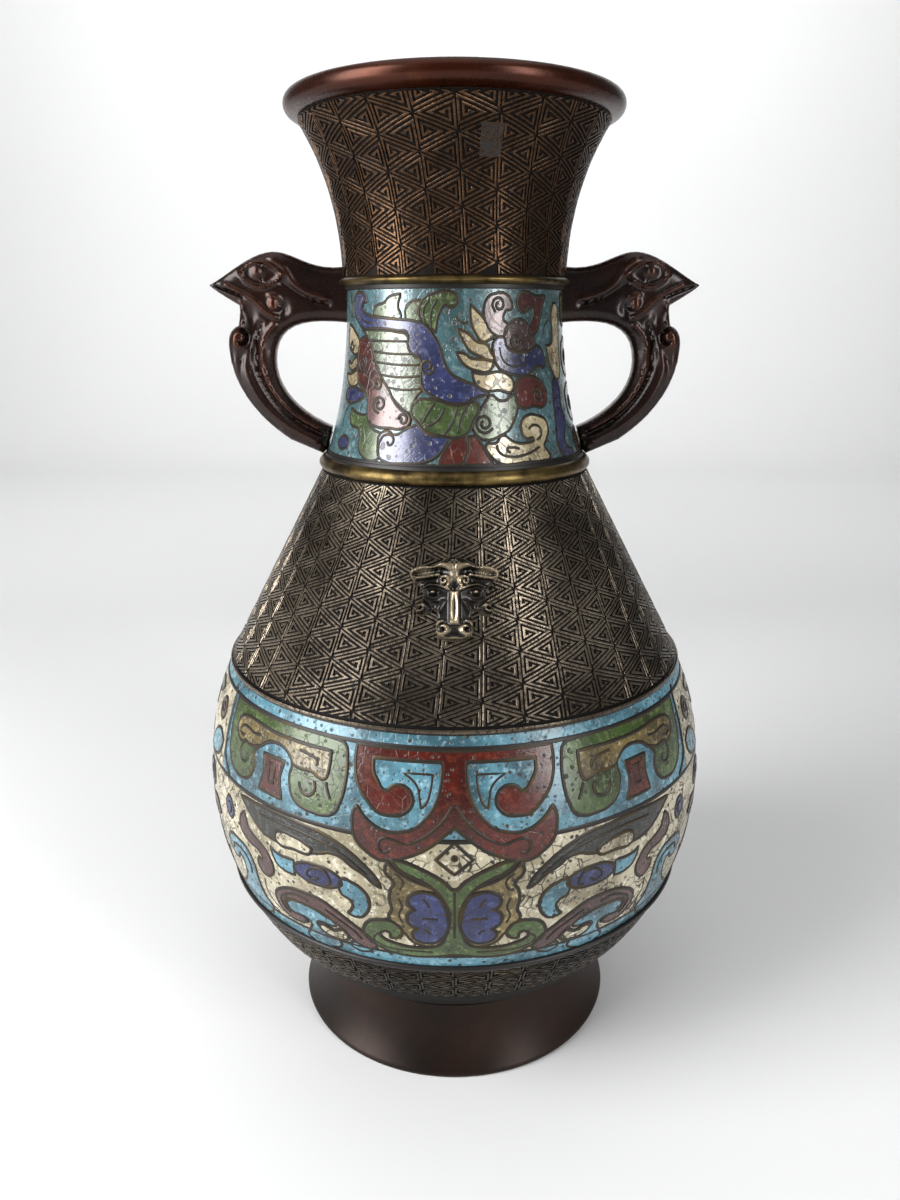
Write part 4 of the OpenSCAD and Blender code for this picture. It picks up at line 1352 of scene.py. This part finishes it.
def mask_piece(name, node):
    """An ox mask: the outline swelled into relief and laid on the shoulder."""
    outline = both_halves([type(q)((q[0], -q[1])) for q in MASK_HALF])
    rim_line = np.array(outline_points(outline)) * (1, -1)
    piece = slab(name, rim_line, 0.42)
    u, v, side = coordinates(piece).T
    depth = distance(u, v, np.vstack([rim_line, rim_line[0]]))
    edge = np.sqrt(1 - (1 - np.clip(depth / 1.3, 0, 1)) ** 2)
    relief = mask_relief(u, v)
    height = np.where(side > side.mean(), np.minimum(0.2 + relief * edge, MASK_TOP), -0.9)
    set_coordinates(piece, np.stack([u, v - MASK_MIDDLE, height], axis=1))
    wrap(piece, SHOULDER)
    horns = 0.65 * np.exp(-((np.abs(u) - 9) / 4) ** 2 - ((v - 6.8) / 2) ** 2)
    # a bright band along the outline: worn edges plus a painted highlight
    rim = 0.5 * np.exp(-(depth / 0.7) ** 2)
    proud = np.maximum(np.clip((relief - 1.75) / 1.5, 0, 1), np.maximum(horns, rim))
    remember(piece, np.stack([u, v, proud], axis=1))
    edit(piece, face_out)
    return dress(smooth(piece, 60), "mask_bronze", node)


def outline_points(outline):
    """The points of a drawn outline, to measure from."""
    fence = drawn("outline", [(outline, True)], height=1.0, fine=5)
    points = [(v.co.x, -v.co.y) for v in fence.data.vertices if v.co.z > 0]
    bpy.data.objects.remove(fence)
    return points


front_mask = mask_piece("ox_face_front", "ox_mask_front")
dress(turned_round(front_mask, "ox_face_back"), "mask_bronze", "ox_mask_back")


# ---- finishes of the CAD pieces that stay --------------------------------------------------------

for node, finish in {
    "base_plate": "foot_bronze", "belly_shell": "cell_bronze", "neck_band": "cell_bronze",
    "left_handle_rivets": "worn_brass", "right_handle_rivets": "worn_brass",
    "left_handle_tenon": "worn_brass", "right_handle_tenon": "worn_brass",
    "front_mask_pins": "worn_brass", "back_mask_pins": "worn_brass",
}.items():
    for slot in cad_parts[node].material_slots:
        slot.material = FINISH[finish]


# ---- floor, light and camera ---------------------------------------------------------------------

def floor_paper():
    f = Finish("floor_paper")
    return f.finish(Base_Color=f.blend(f.noise(3, 3), tone("dcdcdc"), tone("e0e0e0")), Roughness=0.85)


def sweep():
    """A plain floor that curves up into a backdrop."""
    bpy.ops.object.select_all(action="DESELECT")
    bpy.ops.mesh.primitive_plane_add(size=3.0, location=(0, -0.3, 0))
    floor = named("floor")
    alone(floor)
    bpy.ops.object.transform_apply(location=True, rotation=False, scale=False)
    bpy.ops.object.mode_set(mode="EDIT")
    bpy.ops.mesh.select_mode(type="EDGE")
    bpy.ops.mesh.select_all(action="DESELECT")
    bpy.ops.object.mode_set(mode="OBJECT")
    back = floor.data.vertices
    for edge in floor.data.edges:
        edge.select = all(back[i].co.y > 0.5 for i in edge.vertices)
    bpy.ops.object.mode_set(mode="EDIT")
    for k in range(10):
        angle = math.radians(9 * k + 4.5)
        bpy.ops.mesh.extrude_region_move(TRANSFORM_OT_translate={
            "value": (0, 0.08 * math.cos(angle), 0.08 * math.sin(angle))})
    bpy.ops.mesh.extrude_region_move(TRANSFORM_OT_translate={"value": (0, 0, 2.2)})
    bpy.ops.object.mode_set(mode="OBJECT")
    smooth(floor, 40)
    floor.data.materials.append(floor_paper())


AIM = 0.15


def lamp(name, azimuth, height, away, size, power):
    """A soft rectangular light that stands at an angle from the front and looks at the vase."""
    light = bpy.data.lights.new(name, "AREA")
    light.shape = "RECTANGLE"
    light.size, light.size_y = size
    light.energy = power
    thing = bpy.data.objects.new(name, light)
    bpy.context.scene.collection.objects.link(thing)
    a = math.radians(azimuth)
    thing.location = (away * math.sin(a), -away * math.cos(a), height)
    drop = math.atan2(height - AIM, away)
    thing.rotation_euler = (math.pi / 2 - drop, 0, a)
    return thing


sweep()
lamp("window_left", -62, 0.55, 1.1, (0.62, 1.3), 29)
lamp("window_right", 44, 0.5, 1.2, (0.28, 1.1), 11)
lamp("sky", 0, 1.7, 0.15, (1.6, 1.6), 7.5)
backdrop_light = lamp("backdrop_light", 180, 1.3, 0.35, (1.4, 0.6), 22)
backdrop_light.rotation_euler = (math.radians(95), 0, math.radians(2))

world = bpy.data.worlds.new("room")
bpy.context.scene.world = world
world.use_nodes = True
air = world.node_tree.nodes["Background"]
air.inputs["Color"].default_value = (0.93, 0.96, 1.0, 1)
seen = world.node_tree.nodes.new("ShaderNodeLightPath")
strength = world.node_tree.nodes.new("ShaderNodeMapRange")
strength.inputs["To Min"].default_value = 0.15
strength.inputs["To Max"].default_value = 0.8
world.node_tree.links.new(seen.outputs["Is Camera Ray"], strength.inputs["Value"])
world.node_tree.links.new(strength.outputs["Result"], air.inputs["Strength"])

camera_data = bpy.data.cameras.new("camera")
camera_data.lens = 28.22
camera_data.sensor_width = 36
camera_data.shift_x = -0.00375
camera_data.clip_start = 0.01
camera = bpy.data.objects.new("camera", camera_data)
camera.location = (0, -0.3096, 0.2442)
camera.rotation_euler = (math.radians(90 - 16.98), 0, 0)
bpy.context.scene.collection.objects.link(camera)
bpy.context.scene.camera = camera
bpy.context.scene.view_settings.view_transform = "Standard"
